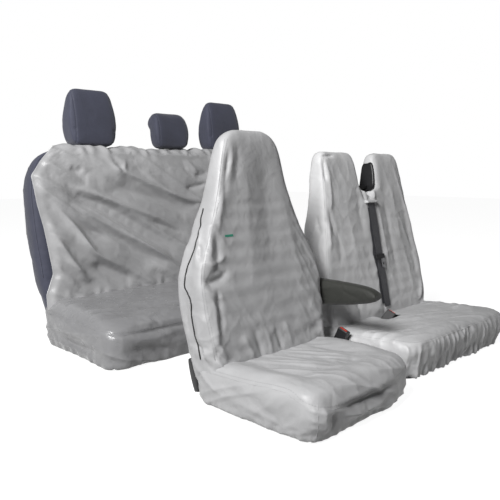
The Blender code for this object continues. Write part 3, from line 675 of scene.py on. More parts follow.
def driver_cushion():
    name = "driver_cushion_cover_fabric"
    obj = cushion_cover(name, (0.288, -0.240, 0.296, 0.003, 0.150), 0.050, 0.055, (0.070, 0.54),
        (0.040, 0.74), 0.014, 0.018)
    points = points_of(obj)
    # The seat narrows to the front, most of all at its left-hand corner.
    ahead = smooth(-points[:, 1], -0.10, 0.24)
    points[:, 0] -= np.where(points[:, 0] > 0, 0.024, 0.016) * ahead * points[:, 0] / 0.28
    corner = smooth(points[:, 0], 0.06, 0.27) * smooth(-points[:, 1], 0.06, 0.24)
    points[:, 1] += 0.022 * corner**1.5
    set_points(obj, points)
    points, normals = relaxed(obj, 0.9, 0.015, 0.05, 2.5, 0.012)
    top = 0.150
    # A raised roll along each side of the seat, then the folds of its top, front skirt and side.
    strokes = [
        ([(-0.230, 0.22, top), (-0.228, 0.0, top), (-0.205, -0.20, top)], 0.040, 0.009),
        ([(0.225, 0.20, top), (0.225, 0.0, top), (0.190, -0.17, top)], 0.045, 0.006),
        ([(-0.15, 0.16, 0.14), (-0.155, 0.02, 0.145), (-0.14, -0.10, 0.15),
            (-0.12, -0.20, 0.145)], 0.026, -0.008),
        ([(-0.07, 0.15, 0.13), (-0.05, 0.03, 0.14), (0.02, -0.08, 0.14)], 0.014, 0.005),
        ([(-0.02, 0.15, 0.13), (0.02, 0.03, 0.14), (0.08, -0.07, 0.14)], 0.013, -0.005),
        ([(0.05, 0.15, 0.13), (0.09, 0.03, 0.14), (0.11, -0.08, 0.15)], 0.014, 0.005),
        ([(0.13, 0.14, 0.13), (0.15, 0.03, 0.14), (0.17, -0.08, 0.15)], 0.014, -0.004),
        ([(-0.08, -0.21, 0.14), (-0.01, -0.13, 0.15), (0.06, -0.03, 0.14)], 0.012, 0.005),
        ([(0.0, -0.22, 0.13), (0.07, -0.12, 0.15), (0.13, -0.05, 0.14)], 0.012, -0.004),
        ([(0.08, -0.22, 0.12), (0.13, -0.14, 0.15), (0.19, -0.07, 0.14)], 0.012, 0.004),
        ([(-0.20, -0.22, 0.145), (-0.13, -0.15, 0.15), (-0.10, -0.06, 0.15)], 0.012, 0.004),
        ([(-0.21, -0.230, 0.100), (-0.05, -0.236, 0.088), (0.08, -0.234, 0.088),
            (0.19, -0.21, 0.098)], 0.011, -0.016),
        ([(-0.21, -0.235, 0.108), (-0.09, -0.230, 0.110), (0.08, -0.228, 0.112),
            (0.18, -0.20, 0.120)], 0.010, 0.007),
        ([(-0.17, -0.235, 0.075), (-0.08, -0.236, 0.056), (0.0, -0.236, 0.052),
            (0.12, -0.230, 0.066)], 0.011, 0.012),
        ([(0.02, -0.235, 0.040), (0.12, -0.230, 0.034), (0.19, -0.210, 0.046)], 0.011, 0.009),
        ([(-0.12, -0.234, 0.032), (0.02, -0.234, 0.022), (0.13, -0.226, 0.024)], 0.013, -0.009),
        ([(-0.235, -0.235, 0.125), (-0.225, -0.238, 0.080), (-0.215, -0.234, 0.020)], 0.010, 0.008),
        ([(-0.19, -0.238, 0.10), (-0.18, -0.238, 0.06), (-0.19, -0.236, 0.02)], 0.011, -0.009),
        ([(-0.285, 0.18, 0.105), (-0.280, 0.0, 0.080), (-0.272, -0.14, 0.040)], 0.018, -0.004),
        ([(-0.285, 0.10, 0.060), (-0.280, -0.04, 0.050), (-0.270, -0.16, 0.025)], 0.014, 0.004),
        ([(-0.268, -0.10, 0.02), (-0.262, -0.17, 0.07), (-0.255, -0.21, 0.11)], 0.012, 0.007),
        ([(-0.272, -0.06, 0.015), (-0.266, -0.13, 0.05), (-0.260, -0.18, 0.10)], 0.010, -0.005),
        ([(-0.290, 0.27, 0.13), (-0.290, 0.21, 0.09), (-0.290, 0.13, 0.06)], 0.010, 0.005),
    ]
    points = fold(points, normals, strokes)
    upper = smooth(normals[:, 2], 0.3, 0.8)
    ahead = smooth(-normals[:, 1], 0.3, 0.8)
    lift = upper * 0.0045 * pleats(points, (1.0, 0.35, 0.0), 0.055, 0.30, 1.0)
    lift += ahead * 0.0110 * pleats(points, (0.25, 0.0, 1.0), 0.050, 0.26, 2.0)
    lift += (1 - upper) * (1 - ahead) * 0.0050 * pleats(points, (0.0, 0.35, 1.0), 0.045, 0.24, 3.0)
    points = points + normals * lift[:, None]
    mask = 0.55 + 0.45 * (1 - smooth(points[:, 2], 0.06, 0.13))
    points = crumple(points, normals, mask, 1.0)
    points = hem_gathers(points, normals, 0.003, 0.040, 0.0030, 24, 4.0)
    set_points(obj, points)
    trim_inside(obj, 0.03)
    skin = Skin(obj)
    replaced = ["driver_cushion_foam", "driver_cushion_cover", "driver_hem_elastic"]
    dress(obj, COVER, "root", replaced)
    corner = [(-0.236, -0.215, 0.140), (-0.250, -0.230, 0.11), (-0.252, -0.235, 0.07),
        (-0.248, -0.230, 0.012)]
    edge = [
        (-0.285, 0.22, 0.120), (-0.280, 0.05, 0.128), (-0.262, -0.12, 0.135), (-0.240, -0.225, 0.105),
        (-0.10, -0.240, 0.098), (0.10, -0.235, 0.100), (0.19, -0.205, 0.108), (0.240, -0.12, 0.125),
        (0.275, 0.10, 0.122),
    ]
    above = [(x * 0.985, y + 0.003, z + 0.009) for x, y, z in edge]
    place = base_matrix(DRIVER)
    add_seam("driver_cushion_corner_seam", skin, corner, 0.0012, 0.007, -0.00024, place, COVER)
    add_seam("driver_cushion_edge_seam", skin, edge, 0.0010, 0.007, -0.0002, place, COVER)
    add_stitches("driver_cushion_stitches", skin, above, place, THREAD)


# ---------------------------------------------------------------- driver's back

DRIVER_ROWS = (
    (-0.090, 0.262, -0.040, 0.050), (-0.060, 0.278, -0.056, 0.066), (0.0, 0.284, -0.068, 0.074),
    (0.060, 0.287, -0.070, 0.078), (0.120, 0.291, -0.071, 0.079), (0.200, 0.300, -0.072, 0.081),
    (0.300, 0.298, -0.071, 0.079), (0.372, 0.279, -0.071, 0.073), (0.470, 0.233, -0.071, 0.057),
    (0.560, 0.195, -0.077, 0.033), (0.640, 0.171, -0.086, 0.010), (0.730, 0.149, -0.097, -0.014),
    (0.785, 0.127, -0.098, -0.030), (0.812, 0.092, -0.091, -0.044), (0.820, 0.056, -0.082, -0.056),
)


def on_front(rows, x, h, lift=0.0):
    """A point on the front face of a back, in the back's own frame."""
    heights = [row[0] for row in rows]
    front = float(np.interp(h, heights, [row[-2] for row in rows]))
    return (x, front - lift, h)


def on_side(rows, h, y, sign=-1):
    heights = [row[0] for row in rows]
    return (sign * float(np.interp(h, heights, [row[1] for row in rows])), y, h)


def driver_back():
    rows = [(h, -half, half, front, rear, 0.030) for h, half, front, rear in DRIVER_ROWS]
    obj = remesh(loft("driver_back_cover_fabric", rows), VOXEL)
    points, normals = relaxed(obj, 0.85, -0.05, 0.03, 2.0, 0.012)

    def front(*pairs):
        return [on_front(DRIVER_ROWS, x, h) for x, h in pairs]

    def side(*pairs):
        return [on_side(DRIVER_ROWS, h, y) for h, y in pairs]

    strokes = [
        # Middle of the back: broad, shallow, upright.
        (front((0.03, 0.78), (0.05, 0.62), (0.05, 0.45), (0.03, 0.28)), 0.050, -0.006),
        (front((-0.03, 0.76), (-0.05, 0.55), (-0.06, 0.36), (-0.09, 0.22)), 0.040, 0.004),
        (front((0.12, 0.64), (0.15, 0.48), (0.17, 0.30), (0.18, 0.16)), 0.040, 0.005),
        # Head: a pulled ridge and the dark tuck beside it.
        (front((-0.100, 0.80), (-0.112, 0.70), (-0.150, 0.61), (-0.180, 0.52),
            (-0.205, 0.42)), 0.013, 0.007),
        (front((-0.112, 0.76), (-0.128, 0.68), (-0.148, 0.61), (-0.165, 0.56)), 0.012, -0.010),
        (front((-0.075, 0.79), (-0.08, 0.70), (-0.10, 0.60)), 0.018, -0.004),
        # Puckers down the outer edge.
        (front((-0.200, 0.53), (-0.228, 0.47), (-0.236, 0.41), (-0.262, 0.36)), 0.013, 0.007),
        (front((-0.205, 0.47), (-0.205, 0.41), (-0.226, 0.35), (-0.250, 0.31)), 0.014, -0.007),
        (front((-0.275, 0.38), (-0.240, 0.355), (-0.205, 0.37), (-0.17, 0.39)), 0.013, 0.009),
        (front((-0.290, 0.33), (-0.255, 0.300), (-0.215, 0.310), (-0.17, 0.34)), 0.014, -0.010),
        (front((-0.295, 0.29), (-0.265, 0.265), (-0.235, 0.245), (-0.205, 0.255)), 0.010, 0.006),
        (front((-0.235, 0.29), (-0.238, 0.20), (-0.246, 0.10)), 0.011, -0.009),
        (front((-0.262, 0.28), (-0.262, 0.18), (-0.268, 0.07)), 0.012, 0.007),
        (front((-0.295, 0.15), (-0.262, 0.09), (-0.225, 0.02)), 0.010, 0.008),
        (front((-0.290, 0.10), (-0.255, 0.055), (-0.200, 0.020)), 0.009, -0.009),
        (front((-0.295, 0.065), (-0.260, 0.025), (-0.220, -0.01)), 0.008, 0.008),
        (front((-0.295, 0.02), (-0.265, 0.0), (-0.23, -0.03)), 0.008, -0.006),
        # Lower front: soft upright ripples above the bight.
        (front((-0.16, 0.11), (-0.13, 0.06), (-0.11, 0.01)), 0.014, 0.007),
        (front((-0.10, 0.12), (-0.08, 0.06), (-0.07, 0.0)), 0.012, -0.007),
        (front((-0.05, 0.11), (-0.03, 0.055), (-0.03, 0.0)), 0.012, 0.006),
        (front((0.0, 0.12), (0.02, 0.06), (0.03, 0.01)), 0.012, -0.006),
        (front((0.05, 0.13), (0.07, 0.07), (0.08, 0.02)), 0.014, 0.005),
        (front((0.16, 0.10), (0.20, 0.07), (0.27, 0.06)), 0.014, -0.006),
        (front((0.20, 0.16), (0.25, 0.12), (0.29, 0.10)), 0.016, 0.005),
        # Side panel.
        (side((0.52, -0.02), (0.46, -0.025), (0.40, -0.030), (0.34, -0.045)), 0.010, 0.006),
        (side((0.44, -0.03), (0.40, -0.045), (0.37, -0.06)), 0.008, -0.006),
        (side((0.30, 0.02), (0.20, 0.03), (0.10, 0.02)), 0.018, -0.005),
        (side((0.22, -0.03), (0.14, -0.02), (0.05, -0.03), (-0.03, -0.05)), 0.012, 0.006),
        (side((0.12, 0.0), (0.06, -0.02), (0.0, -0.05)), 0.010, -0.006),
        (side((0.05, 0.04), (0.0, 0.01), (-0.04, -0.03)), 0.010, 0.006),
    ]
    points = fold(points, normals, strokes)
    edge = smooth(np.abs(points[:, 0]), 0.12, 0.26) * (points[:, 1] < 0.05)
    low = 1 - smooth(points[:, 2], 0.10, 0.30)
    lift = 0.0012 * pleats(points, (1.0, 0.0, 0.25), 0.11, 0.60, 5.0)
    lift += (0.0055 * edge + 0.003 * low) * pleats(points, (1.0, 0.4, 0.55), 0.046, 0.26, 6.0)
    points = crumple(points + normals * lift[:, None], normals, 0.45 + 0.5 * edge, 2.0)
    set_points(obj, points)
    # The rear hem stops above the trim of the recliner; the front and sides run on down into the seat.
    points = points_of(obj)
    rear = smooth(points[:, 1], 0.02, 0.06)
    cut_away(obj, points[:, 2] < -0.072 + 0.075 * rear)
    skin = Skin(obj)
    to_world(obj, back_matrix(DRIVER))
    low, high = back_matrix(DRIVER) @ Vector((0, 0, -0.075)), back_matrix(DRIVER) @ Vector((0, 0, 0.085))
    blended = ("root", "driver_back", low, high)
    dress(obj, COVER, None, ["driver_back_foam", "driver_back_cover"])
    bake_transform(obj)
    driver_back_trim(skin, blended)
    return obj


def driver_back_trim(skin, blended):
    """Seams of the boxed side, the airbag slit's binding, and a plain tag, all in the back's frame first."""
    matrix = back_matrix(DRIVER)
    heights = (0.05, 0.12, 0.20, 0.30, 0.372, 0.47, 0.56, 0.64, 0.73, 0.785)
    for side, sign in (("right", -1), ("left", 1)):
        line = []
        for h in heights:
            half = float(np.interp(h, [r[0] for r in DRIVER_ROWS], [r[1] for r in DRIVER_ROWS]))
            front = float(np.interp(h, [r[0] for r in DRIVER_ROWS], [r[2] for r in DRIVER_ROWS]))
            line.append((sign * (half - 0.004), front + 0.006, h))
        inner = [(x - sign * 0.010, y - 0.004, h) for x, y, h in line]
        seam_name, row_name = f"driver_back_seam_{side}", f"driver_back_stitches_{side}"
        add_seam(seam_name, skin, line, 0.0013, 0.007, -0.0004, matrix, COVER, blended=blended)
        add_stitches(row_name, skin, inner, matrix, THREAD, blended=blended)
    slit = [
        (0.555, -0.016), (0.515, -0.010), (0.480, -0.022), (0.440, -0.012), (0.400, -0.008), (0.365, 0.004),
        (0.330, 0.012), (0.300, 0.020), (0.275, 0.004), (0.245, -0.010), (0.225, -0.004), (0.200, 0.0),
        (0.160, 0.004), (0.120, 0.002), (0.080, 0.0), (0.055, -0.002),
    ]
    line = [on_side(DRIVER_ROWS, h, y) for h, y in slit]
    finish = (matrix, BINDING, None, "binding", blended)
    binding = add_seam("driver_side_slit_binding", skin, line, 0.0030, 0.006, 0.0003, *finish)
    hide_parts("driver_side_opening_binding")
    for side, sign in (("right", -1), ("left", 1)):
        near, far = sorted((sign * 0.258, sign * 0.286))
        guard = loft(
            f"driver_recliner_guard_{side}",
            [(-0.060, near, far, 0.046, 0.070, 0.006), (-0.020, near, far, 0.046, 0.080, 0.008),
             (0.030, near, far, 0.052, 0.084, 0.008), (0.055, near, far, 0.062, 0.080, 0.006)],
        )
        remesh(guard, 0.004, 3)
        guard.data.shade_smooth()
        finish_trim(guard, matrix, BLACK, slot="black_plastic")
    tag = new_object("driver_front_tag", tag_mesh(skin, (-0.150, -0.07, 0.450)))
    finish_trim(tag, matrix, TAG, None, "label", blended)
    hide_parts("driver_label")


def tag_mesh(skin, middle, width=0.036, height=0.008, thickness=0.0009):
    """A thin plain tag that lies on the surface."""
    columns, rows = 12, 4
    bm = bmesh.new()
    layers = []
    for lift in (0.0002, thickness):
        grid = []
        for j in range(rows + 1):
            line = []
            for i in range(columns + 1):
                x, z = width * (i / columns - 0.5), height * (j / rows - 0.5)
                place, _ = skin.at((middle[0] + x, middle[1], middle[2] + z), lift)
                line.append(bm.verts.new(place))
            grid.append(line)
        layers.append(grid)
    for grid, flip in zip(layers, (True, False)):
        for j in range(rows):
            for i in range(columns):
                quad = (grid[j][i], grid[j][i + 1], grid[j + 1][i + 1], grid[j + 1][i])
                bm.faces.new(tuple(reversed(quad)) if flip else quad)
    loops = []
    for grid in layers:
        right, left = [line[-1] for line in grid[1:-1]], [line[0] for line in grid[-2:0:-1]]
        loops.append([*grid[0], *right, *reversed(grid[-1]), *left])
    for i in range(len(loops[0])):
        j = (i + 1) % len(loops[0])
        bm.faces.new((loops[0][i], loops[0][j], loops[1][j], loops[1][i]))
    bmesh.ops.recalc_face_normals(bm, faces=bm.faces)
    return finished(bm, "tag")


def stitch_mesh(skin, points, pitch=0.0085, length=0.0052, radius=0.00055):
    """A mesh of small separate stitches along a line on the surface."""
    path = skin.line(points, pitch / 2)
    vertices, faces = [], []
    for i in range(0, len(path) - 1, 2):
        middle, normal = skin.at((path[i] + path[i + 1]) / 2, 0.0003)
        ahead = (path[i + 1] - path[i]).normalized()
        side = normal.cross(ahead).normalized()
        base = len(vertices)
        for share, size in ((-0.5, 0.35), (-0.32, 1.0), (0.32, 1.0), (0.5, 0.35)):
            for across, up in ((1, 0), (0.5, 0.9), (-0.5, 0.9), (-1, 0), (0, -0.8)):
                around = (side * across + normal * up) * radius * size
                vertices.append(middle + ahead * share * length + around)
        for r in range(3):
            for k in range(5):
                j = (k + 1) % 5
                faces.append((base + r * 5 + k, base + r * 5 + j, base + r * 5 + 5 + j, base + r * 5 + 5 + k))
        faces.append(tuple(base + k for k in reversed(range(5))))
        faces.append(tuple(base + 15 + k for k in range(5)))
    mesh = mesh_from("stitches", vertices, faces)
    mesh.shade_smooth()
    return mesh


# ---------------------------------------------------------------- armrest


def armrest():
    """The arm in its own sleeve: a rounded, slightly slack tube of cloth with gathers at the hinge end."""
    outline = [
        (0.052, 0.030, -0.012), (0.030, 0.044, -0.042), (0.0, 0.051, -0.051), (-0.060, 0.0535, -0.047),
        (-0.120, 0.0535, -0.039), (-0.180, 0.0525, -0.029), (-0.235, 0.049, -0.017),
            (-0.268, 0.043, -0.008),
        (-0.288, 0.034, 0.001), (-0.297, 0.026, 0.010),
    ]
    rings = []
    for y, high, low in curve_through(outline, 0.006):
        rings.append([(px, y, (high + low) / 2 + pz) for px, pz in ring(0.0535, high - low, 0.017)])
    obj = remesh(shell("driver_armrest_sleeve", rings), 0.0045, 6)
    points = points_of(obj)
    settle(obj, 1 - 0.9 * smooth(np.abs(points[:, 1] - 0.02), 0.0, 0.05), 3.0, 0.01, 14, 0.003)
    subdivide(obj)
    points, normals = points_of(obj), normals_of(obj)
    strokes = [
        ([(-0.027, 0.03, 0.03), (-0.027, -0.02, 0.0), (-0.027, -0.09, -0.02)], 0.007, -0.0022),
        ([(-0.027, 0.03, 0.01), (-0.027, -0.03, 0.02), (-0.027, -0.12, 0.03)], 0.008, 0.0020),
        ([(-0.027, -0.14, 0.03), (-0.027, -0.20, 0.01), (-0.027, -0.25, 0.0)], 0.008, -0.0016),
    ]
    points = fold(points, normals, strokes)
    points = crumple(points, normals, 1.0, 8.0, 0.0012, 0.0006)
    set_points(obj, points)
    skin = Skin(obj)
    # Its pin is level with the CAD pad's box, 0.052 m behind its centre line's rear end.
    low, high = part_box("driver_armrest_pad")
    pin = Vector(((low.x + high.x) / 2, high.y - 0.052, low.z + 0.050))
    place = Matrix.Translation(pin)
    to_world(obj, place)
    dress(obj, SLEEVE, "driver_armrest", ["driver_armrest_pad"])
    edge = [(y, high - 0.006) for y, high, _ in outline[1:-1]]
    for side, sign in (("inner", -1), ("outer", 1)):
        line = [(sign * 0.0262, y, z - 0.004) for y, z in edge]
        finish = (place, SLEEVE, "driver_armrest", "armrest_fabric")
        add_seam(f"driver_armrest_seam_{side}", skin, line, 0.0009, 0.006, 0.0, *finish)


# ---------------------------------------------------------------- double seat


def double_cushion():
    name = "double_cushion_cover_fabric"
    obj = cushion_cover(name, (0.405, -0.228, 0.276, 0.003, 0.142), 0.060, 0.085, (0.050, 0.72),
        (0.036, 0.74), 0.012, 0.022)
    points, normals = relaxed(obj, 0.9, 0.015, 0.05, 2.2, 0.015)
    top = 0.145
    strokes = [
        ([(-0.39, 0.05, top), (-0.37, -0.06, top), (-0.31, -0.17, top)], 0.030, 0.008),
        ([(-0.25, 0.12, top), (-0.28, 0.02, top), (-0.22, -0.08, top), (-0.05, -0.12, top)], 0.030, -0.007),
        ([(-0.30, 0.10, top), (-0.20, 0.06, top), (-0.08, 0.06, top)], 0.016, 0.006),
        ([(-0.16, 0.10, top), (-0.05, 0.02, top), (0.06, -0.04, top), (0.16, -0.10, top)], 0.018, 0.006),
        ([(-0.05, 0.08, top), (0.06, 0.03, top), (0.16, 0.0, top)], 0.016, -0.005),
        ([(0.04, 0.12, top), (0.16, 0.07, top), (0.28, 0.04, top)], 0.018, 0.005),
        ([(0.10, -0.06, top), (0.24, -0.04, top), (0.36, 0.02, top)], 0.022, -0.005),
        ([(0.20, -0.16, top), (0.30, -0.10, top), (0.36, -0.02, top)], 0.018, 0.005),
        ([(-0.10, -0.20, top), (-0.02, -0.14, top), (0.10, -0.13, top)], 0.014, 0.004),
        ([(-0.37, -0.20, 0.13), (-0.375, -0.22, 0.08), (-0.365, -0.22, 0.02)], 0.014, 0.008),
        ([(-0.33, -0.232, 0.12), (-0.34, -0.234, 0.07), (-0.33, -0.232, 0.02)], 0.018, -0.009),
        ([(-0.28, -0.232, 0.11), (-0.25, -0.234, 0.06), (-0.26, -0.232, 0.01)], 0.014, 0.008),
        ([(-0.20, -0.232, 0.12), (-0.21, -0.234, 0.06), (-0.22, -0.232, 0.01)], 0.012, -0.010),
        ([(-0.16, -0.232, 0.10), (-0.15, -0.234, 0.05), (-0.16, -0.232, 0.01)], 0.010, 0.008),
        ([(0.02, -0.232, 0.14), (0.015, -0.234, 0.08), (0.03, -0.232, 0.02)], 0.008, -0.010),
        ([(0.05, -0.232, 0.13), (0.05, -0.234, 0.08), (0.06, -0.232, 0.02)], 0.011, 0.009),
    ]
    points = fold(points, normals, strokes)
    upper = smooth(normals[:, 2], 0.3, 0.8)
    lift = upper * 0.0060 * pleats(points, (0.5, 1.0, 0.0), 0.065, 0.30, 11.0)
    lift += (1 - upper) * 0.0100 * pleats(points, (1.0, 0.0, 0.2), 0.040, 0.14, 12.0)
    points = points + normals * lift[:, None]
    mask = 0.6 + 0.4 * (1 - smooth(points[:, 2], 0.06, 0.13))
    points = crumple(points, normals, mask, 11.0)
    points = hem_gathers(points, normals, 0.003, 0.115, 0.0085, 17, 14.0)
    points = hem_gathers(points, normals, 0.003, 0.050, 0.0040, 34, 17.0)
    set_points(obj, points)
    # The centre buckle stands in a pocket at the rear edge.
    pocket = (np.abs(points[:, 0] + 0.040) < 0.050) & (points[:, 1] > 0.088) & (points[:, 2] > 0.07)
    cut_away(obj, pocket)
    trim_inside(obj, 0.03)
    skin = Skin(obj)
    matrix = base_matrix(DOUBLE)
    to_world(obj, matrix)
    dress(
        obj, COVER_DOUBLE, "root",
        ["double_cushion_foam", "double_cushion_cover", "double_hem_elastic"],
    )
    edge = [
        (-0.398, 0.10, 0.125), (-0.398, -0.08, 0.135), (-0.37, -0.19, 0.140), (-0.30, -0.222, 0.142),
        (0.0, -0.224, 0.142), (0.30, -0.222, 0.142), (0.37, -0.19, 0.140), (0.398, -0.08, 0.135),
            (0.398, 0.12, 0.125),
    ]
    upright = [(0.02, -0.222, 0.138), (0.02, -0.232, 0.09), (0.024, -0.232, 0.02)]
    for label, line in (("edge", edge), ("skirt", upright)):
        add_seam(f"double_cushion_seam_{label}", skin, line, 0.0011, 0.007, -0.0002, matrix, COVER_DOUBLE)
    above = [(x * 0.985, y + 0.006, z + 0.004) for x, y, z in edge]
    add_stitches("double_cushion_stitches", skin, above, matrix, THREAD)
    liner = loft(
        "double_buckle_pocket_liner",
        [(0.050, -0.098, 0.018, 0.084, 0.150, 0.012), (0.080, -0.096, 0.016, 0.086, 0.150, 0.012),
         (0.104, -0.095, 0.015, 0.087, 0.150, 0.012)],
    )
    remesh(liner, 0.005, 2)
    finish_trim(liner, matrix, BINDING, slot="binding")


DOUBLE_ROWS = (
    (-0.060, 0.0, 0.350, -0.040, 0.050), (-0.020, 0.0, 0.366, -0.064, 0.068),
        (0.030, 0.0, 0.372, -0.069, 0.074),
    (0.080, 0.0, 0.379, -0.070, 0.078), (0.240, 0.0, 0.365, -0.071, 0.079),
        (0.410, 0.0, 0.339, -0.070, 0.067),
    (0.510, 0.0, 0.323, -0.070, 0.049), (0.570, 0.004, 0.314, -0.071, 0.037),
        (0.598, 0.034, 0.310, -0.071, 0.031),
    (0.640, 0.045, 0.306, -0.071, 0.023), (0.705, 0.053, 0.299, -0.070, 0.011),
        (0.738, 0.059, 0.292, -0.066, 0.003),
    (0.756, 0.070, 0.282, -0.059, -0.006), (0.764, 0.090, 0.262, -0.050, -0.018),
)


def double_back():
    halves = []
    for sign in (-1, 1):
        rows = []
        for h, inner, outer, front, rear in DOUBLE_ROWS:
            near = inner - 0.012 if inner < 0.03 else inner
            if sign > 0 and h > 0.55:
                near += 0.028
            left, right = sorted((sign * near, sign * outer))
            rows.append((h, left, right, front, rear, 0.028))
        halves.append(loft("half", rows))
    obj = remesh(join_shells("double_back_cover_fabric", *halves), VOXEL)
    points, normals = relaxed(obj, 0.85, -0.04, 0.04, 2.0, 0.010)
    outer = [(row[0], row[2], row[3], row[4]) for row in DOUBLE_ROWS]

    def front(*pairs):
        return [on_front(outer, x, h) for x, h in pairs]

    def side(*pairs):
        return [on_side(outer, h, y) for h, y in pairs]

    strokes = [
        # Right-hand tower: the tuck between its side and front, and the pulled fold below it.
        (front((-0.284, 0.735), (-0.287, 0.68), (-0.286, 0.62)), 0.008, -0.010),
        (front((-0.29, 0.742), (-0.25, 0.740), (-0.20, 0.745)), 0.007, -0.007),
        (front((-0.272, 0.72), (-0.270, 0.62), (-0.278, 0.54), (-0.300, 0.47)), 0.012, 0.006),
        (front((-0.300, 0.53), (-0.290, 0.46), (-0.280, 0.38)), 0.014, -0.006),
        (front((-0.315, 0.47), (-0.318, 0.40), (-0.325, 0.32)), 0.012, 0.007),
        (front((-0.255, 0.45), (-0.260, 0.34), (-0.270, 0.24)), 0.020, -0.004),
        (front((-0.16, 0.70), (-0.17, 0.50), (-0.16, 0.30), (-0.18, 0.12)), 0.050, 0.004),
        (front((-0.07, 0.66), (-0.08, 0.50), (-0.07, 0.35)), 0.022, -0.004),
        # Pull towards the belt's slot.
        (front((-0.045, 0.62), (-0.035, 0.57), (-0.020, 0.53)), 0.010, -0.007),
        (front((0.050, 0.60), (0.045, 0.56), (0.030, 0.53)), 0.009, 0.006),
        (front((-0.030, 0.59), (-0.005, 0.57), (0.020, 0.575)), 0.008, 0.005),
        (front((0.058, 0.54), (0.070, 0.45), (0.075, 0.34), (0.085, 0.20)), 0.018, 0.005),
        (front((0.115, 0.60), (0.130, 0.44), (0.140, 0.28), (0.15, 0.10)), 0.022, -0.005),
        (front((0.18, 0.66), (0.20, 0.46), (0.22, 0.26)), 0.026, 0.004),
        (front((0.27, 0.52), (0.29, 0.36), (0.31, 0.20), (0.33, 0.08)), 0.020, -0.005),
        (front((0.34, 0.14), (0.33, 0.08), (0.30, 0.03)), 0.012, 0.007),
        (front((0.36, 0.09), (0.34, 0.05), (0.31, 0.01)), 0.010, -0.007),
        (front((-0.30, 0.14), (-0.28, 0.07), (-0.25, 0.02)), 0.014, 0.006),
        (front((-0.20, 0.12), (-0.18, 0.06), (-0.18, 0.01)), 0.012, -0.005),
        (side((0.50, -0.02), (0.44, -0.03), (0.40, -0.04)), 0.010, -0.006),
        (side((0.46, -0.03), (0.43, -0.01), (0.40, 0.01)), 0.009, 0.006),
        (side((0.42, -0.045), (0.36, -0.03), (0.28, -0.04)), 0.010, 0.005),
        (side((0.30, 0.0), (0.20, 0.01), (0.10, 0.0)), 0.016, -0.004),
    ]
    points = fold(points, normals, strokes)
    edge = smooth(np.abs(points[:, 0]), 0.20, 0.32)
    lift = (0.0012 + 0.0045 * edge) * pleats(points, (1.0, 0.3, 0.3), 0.070, 0.50, 21.0)
    points = crumple(points + normals * lift[:, None], normals, 0.55, 22.0)
    set_points(obj, points)
    rear = smooth(points[:, 1], 0.02, 0.06)
    cut_away(obj, points[:, 2] < -0.045 + 0.050 * rear)
    skin = Skin(obj)
    matrix = back_matrix(DOUBLE)
    to_world(obj, matrix)
    # The double's back takes the lightest copy of the cover cloth: painted light for its lit front faces.
    dress(
        obj, COVER_DOUBLE_BACK_PAINTED_LIGHTER, "root",
        ["double_back_foam_left", "double_back_foam_right", "double_back_cover"],
    )
    heights = (0.05, 0.15, 0.24, 0.41, 0.51, 0.57, 0.64, 0.705, 0.735)
    for label, sign in (("right", -1), ("left", 1)):
        line = []
        for h in heights:
            half = float(np.interp(h, [r[0] for r in outer], [r[1] for r in outer]))
            line.append((sign * (half - 0.004), -0.064, h))
        inner = [(x - sign * 0.010, y - 0.004, h) for x, y, h in line]
        add_seam(f"double_back_seam_{label}", skin, line, 0.0012, 0.007, -0.0003, matrix, COVER_DOUBLE_BACK_PAINTED_LIGHTER)
        add_stitches(f"double_back_stitches_{label}", skin, inner, matrix, THREAD)
    belt(skin, matrix)


def ribbon(name, left, right, thickness):
    """A closed strip between two edge lines, thickened forwards."""
    vertices, faces = [], []
    count = len(left)
    for a, b in zip(left, right):
        for k in range(7):
            share = k / 6
            point = np.array(a) * (1 - share) + np.array(b) * share
            vertices.append(point)
    front = len(vertices)
    vertices += [v + np.array((0, -thickness, 0)) for v in vertices]
    for i in range(count - 1):
        for k in range(6):
            a, b = i * 7 + k, (i + 1) * 7 + k
            faces.append((a, b, b + 1, a + 1))
            faces.append((front + a, front + a + 1, front + b + 1, front + b))
        for k in (0, 6):
            a, b = i * 7 + k, (i + 1) * 7 + k
            quad = (a, a + front, b + front, b)
            faces.append(quad if k == 0 else tuple(reversed(quad)))
    for i in (0, count - 1):
        for k in range(6):
            a = i * 7 + k
            quad = (a, a + 1, front + a + 1, front + a)
            faces.append(quad if i == 0 else tuple(reversed(quad)))
    mesh = mesh_from(name, vertices, faces)
    bm = bmesh.new()
    bm.from_mesh(mesh)
    bmesh.ops.recalc_face_normals(bm, faces=bm.faces)
    bm.to_mesh(mesh)
    bm.free()
    mesh.shade_smooth()
    mesh.set_sharp_from_angle(angle=math.radians(50))
    return new_object(name, mesh)


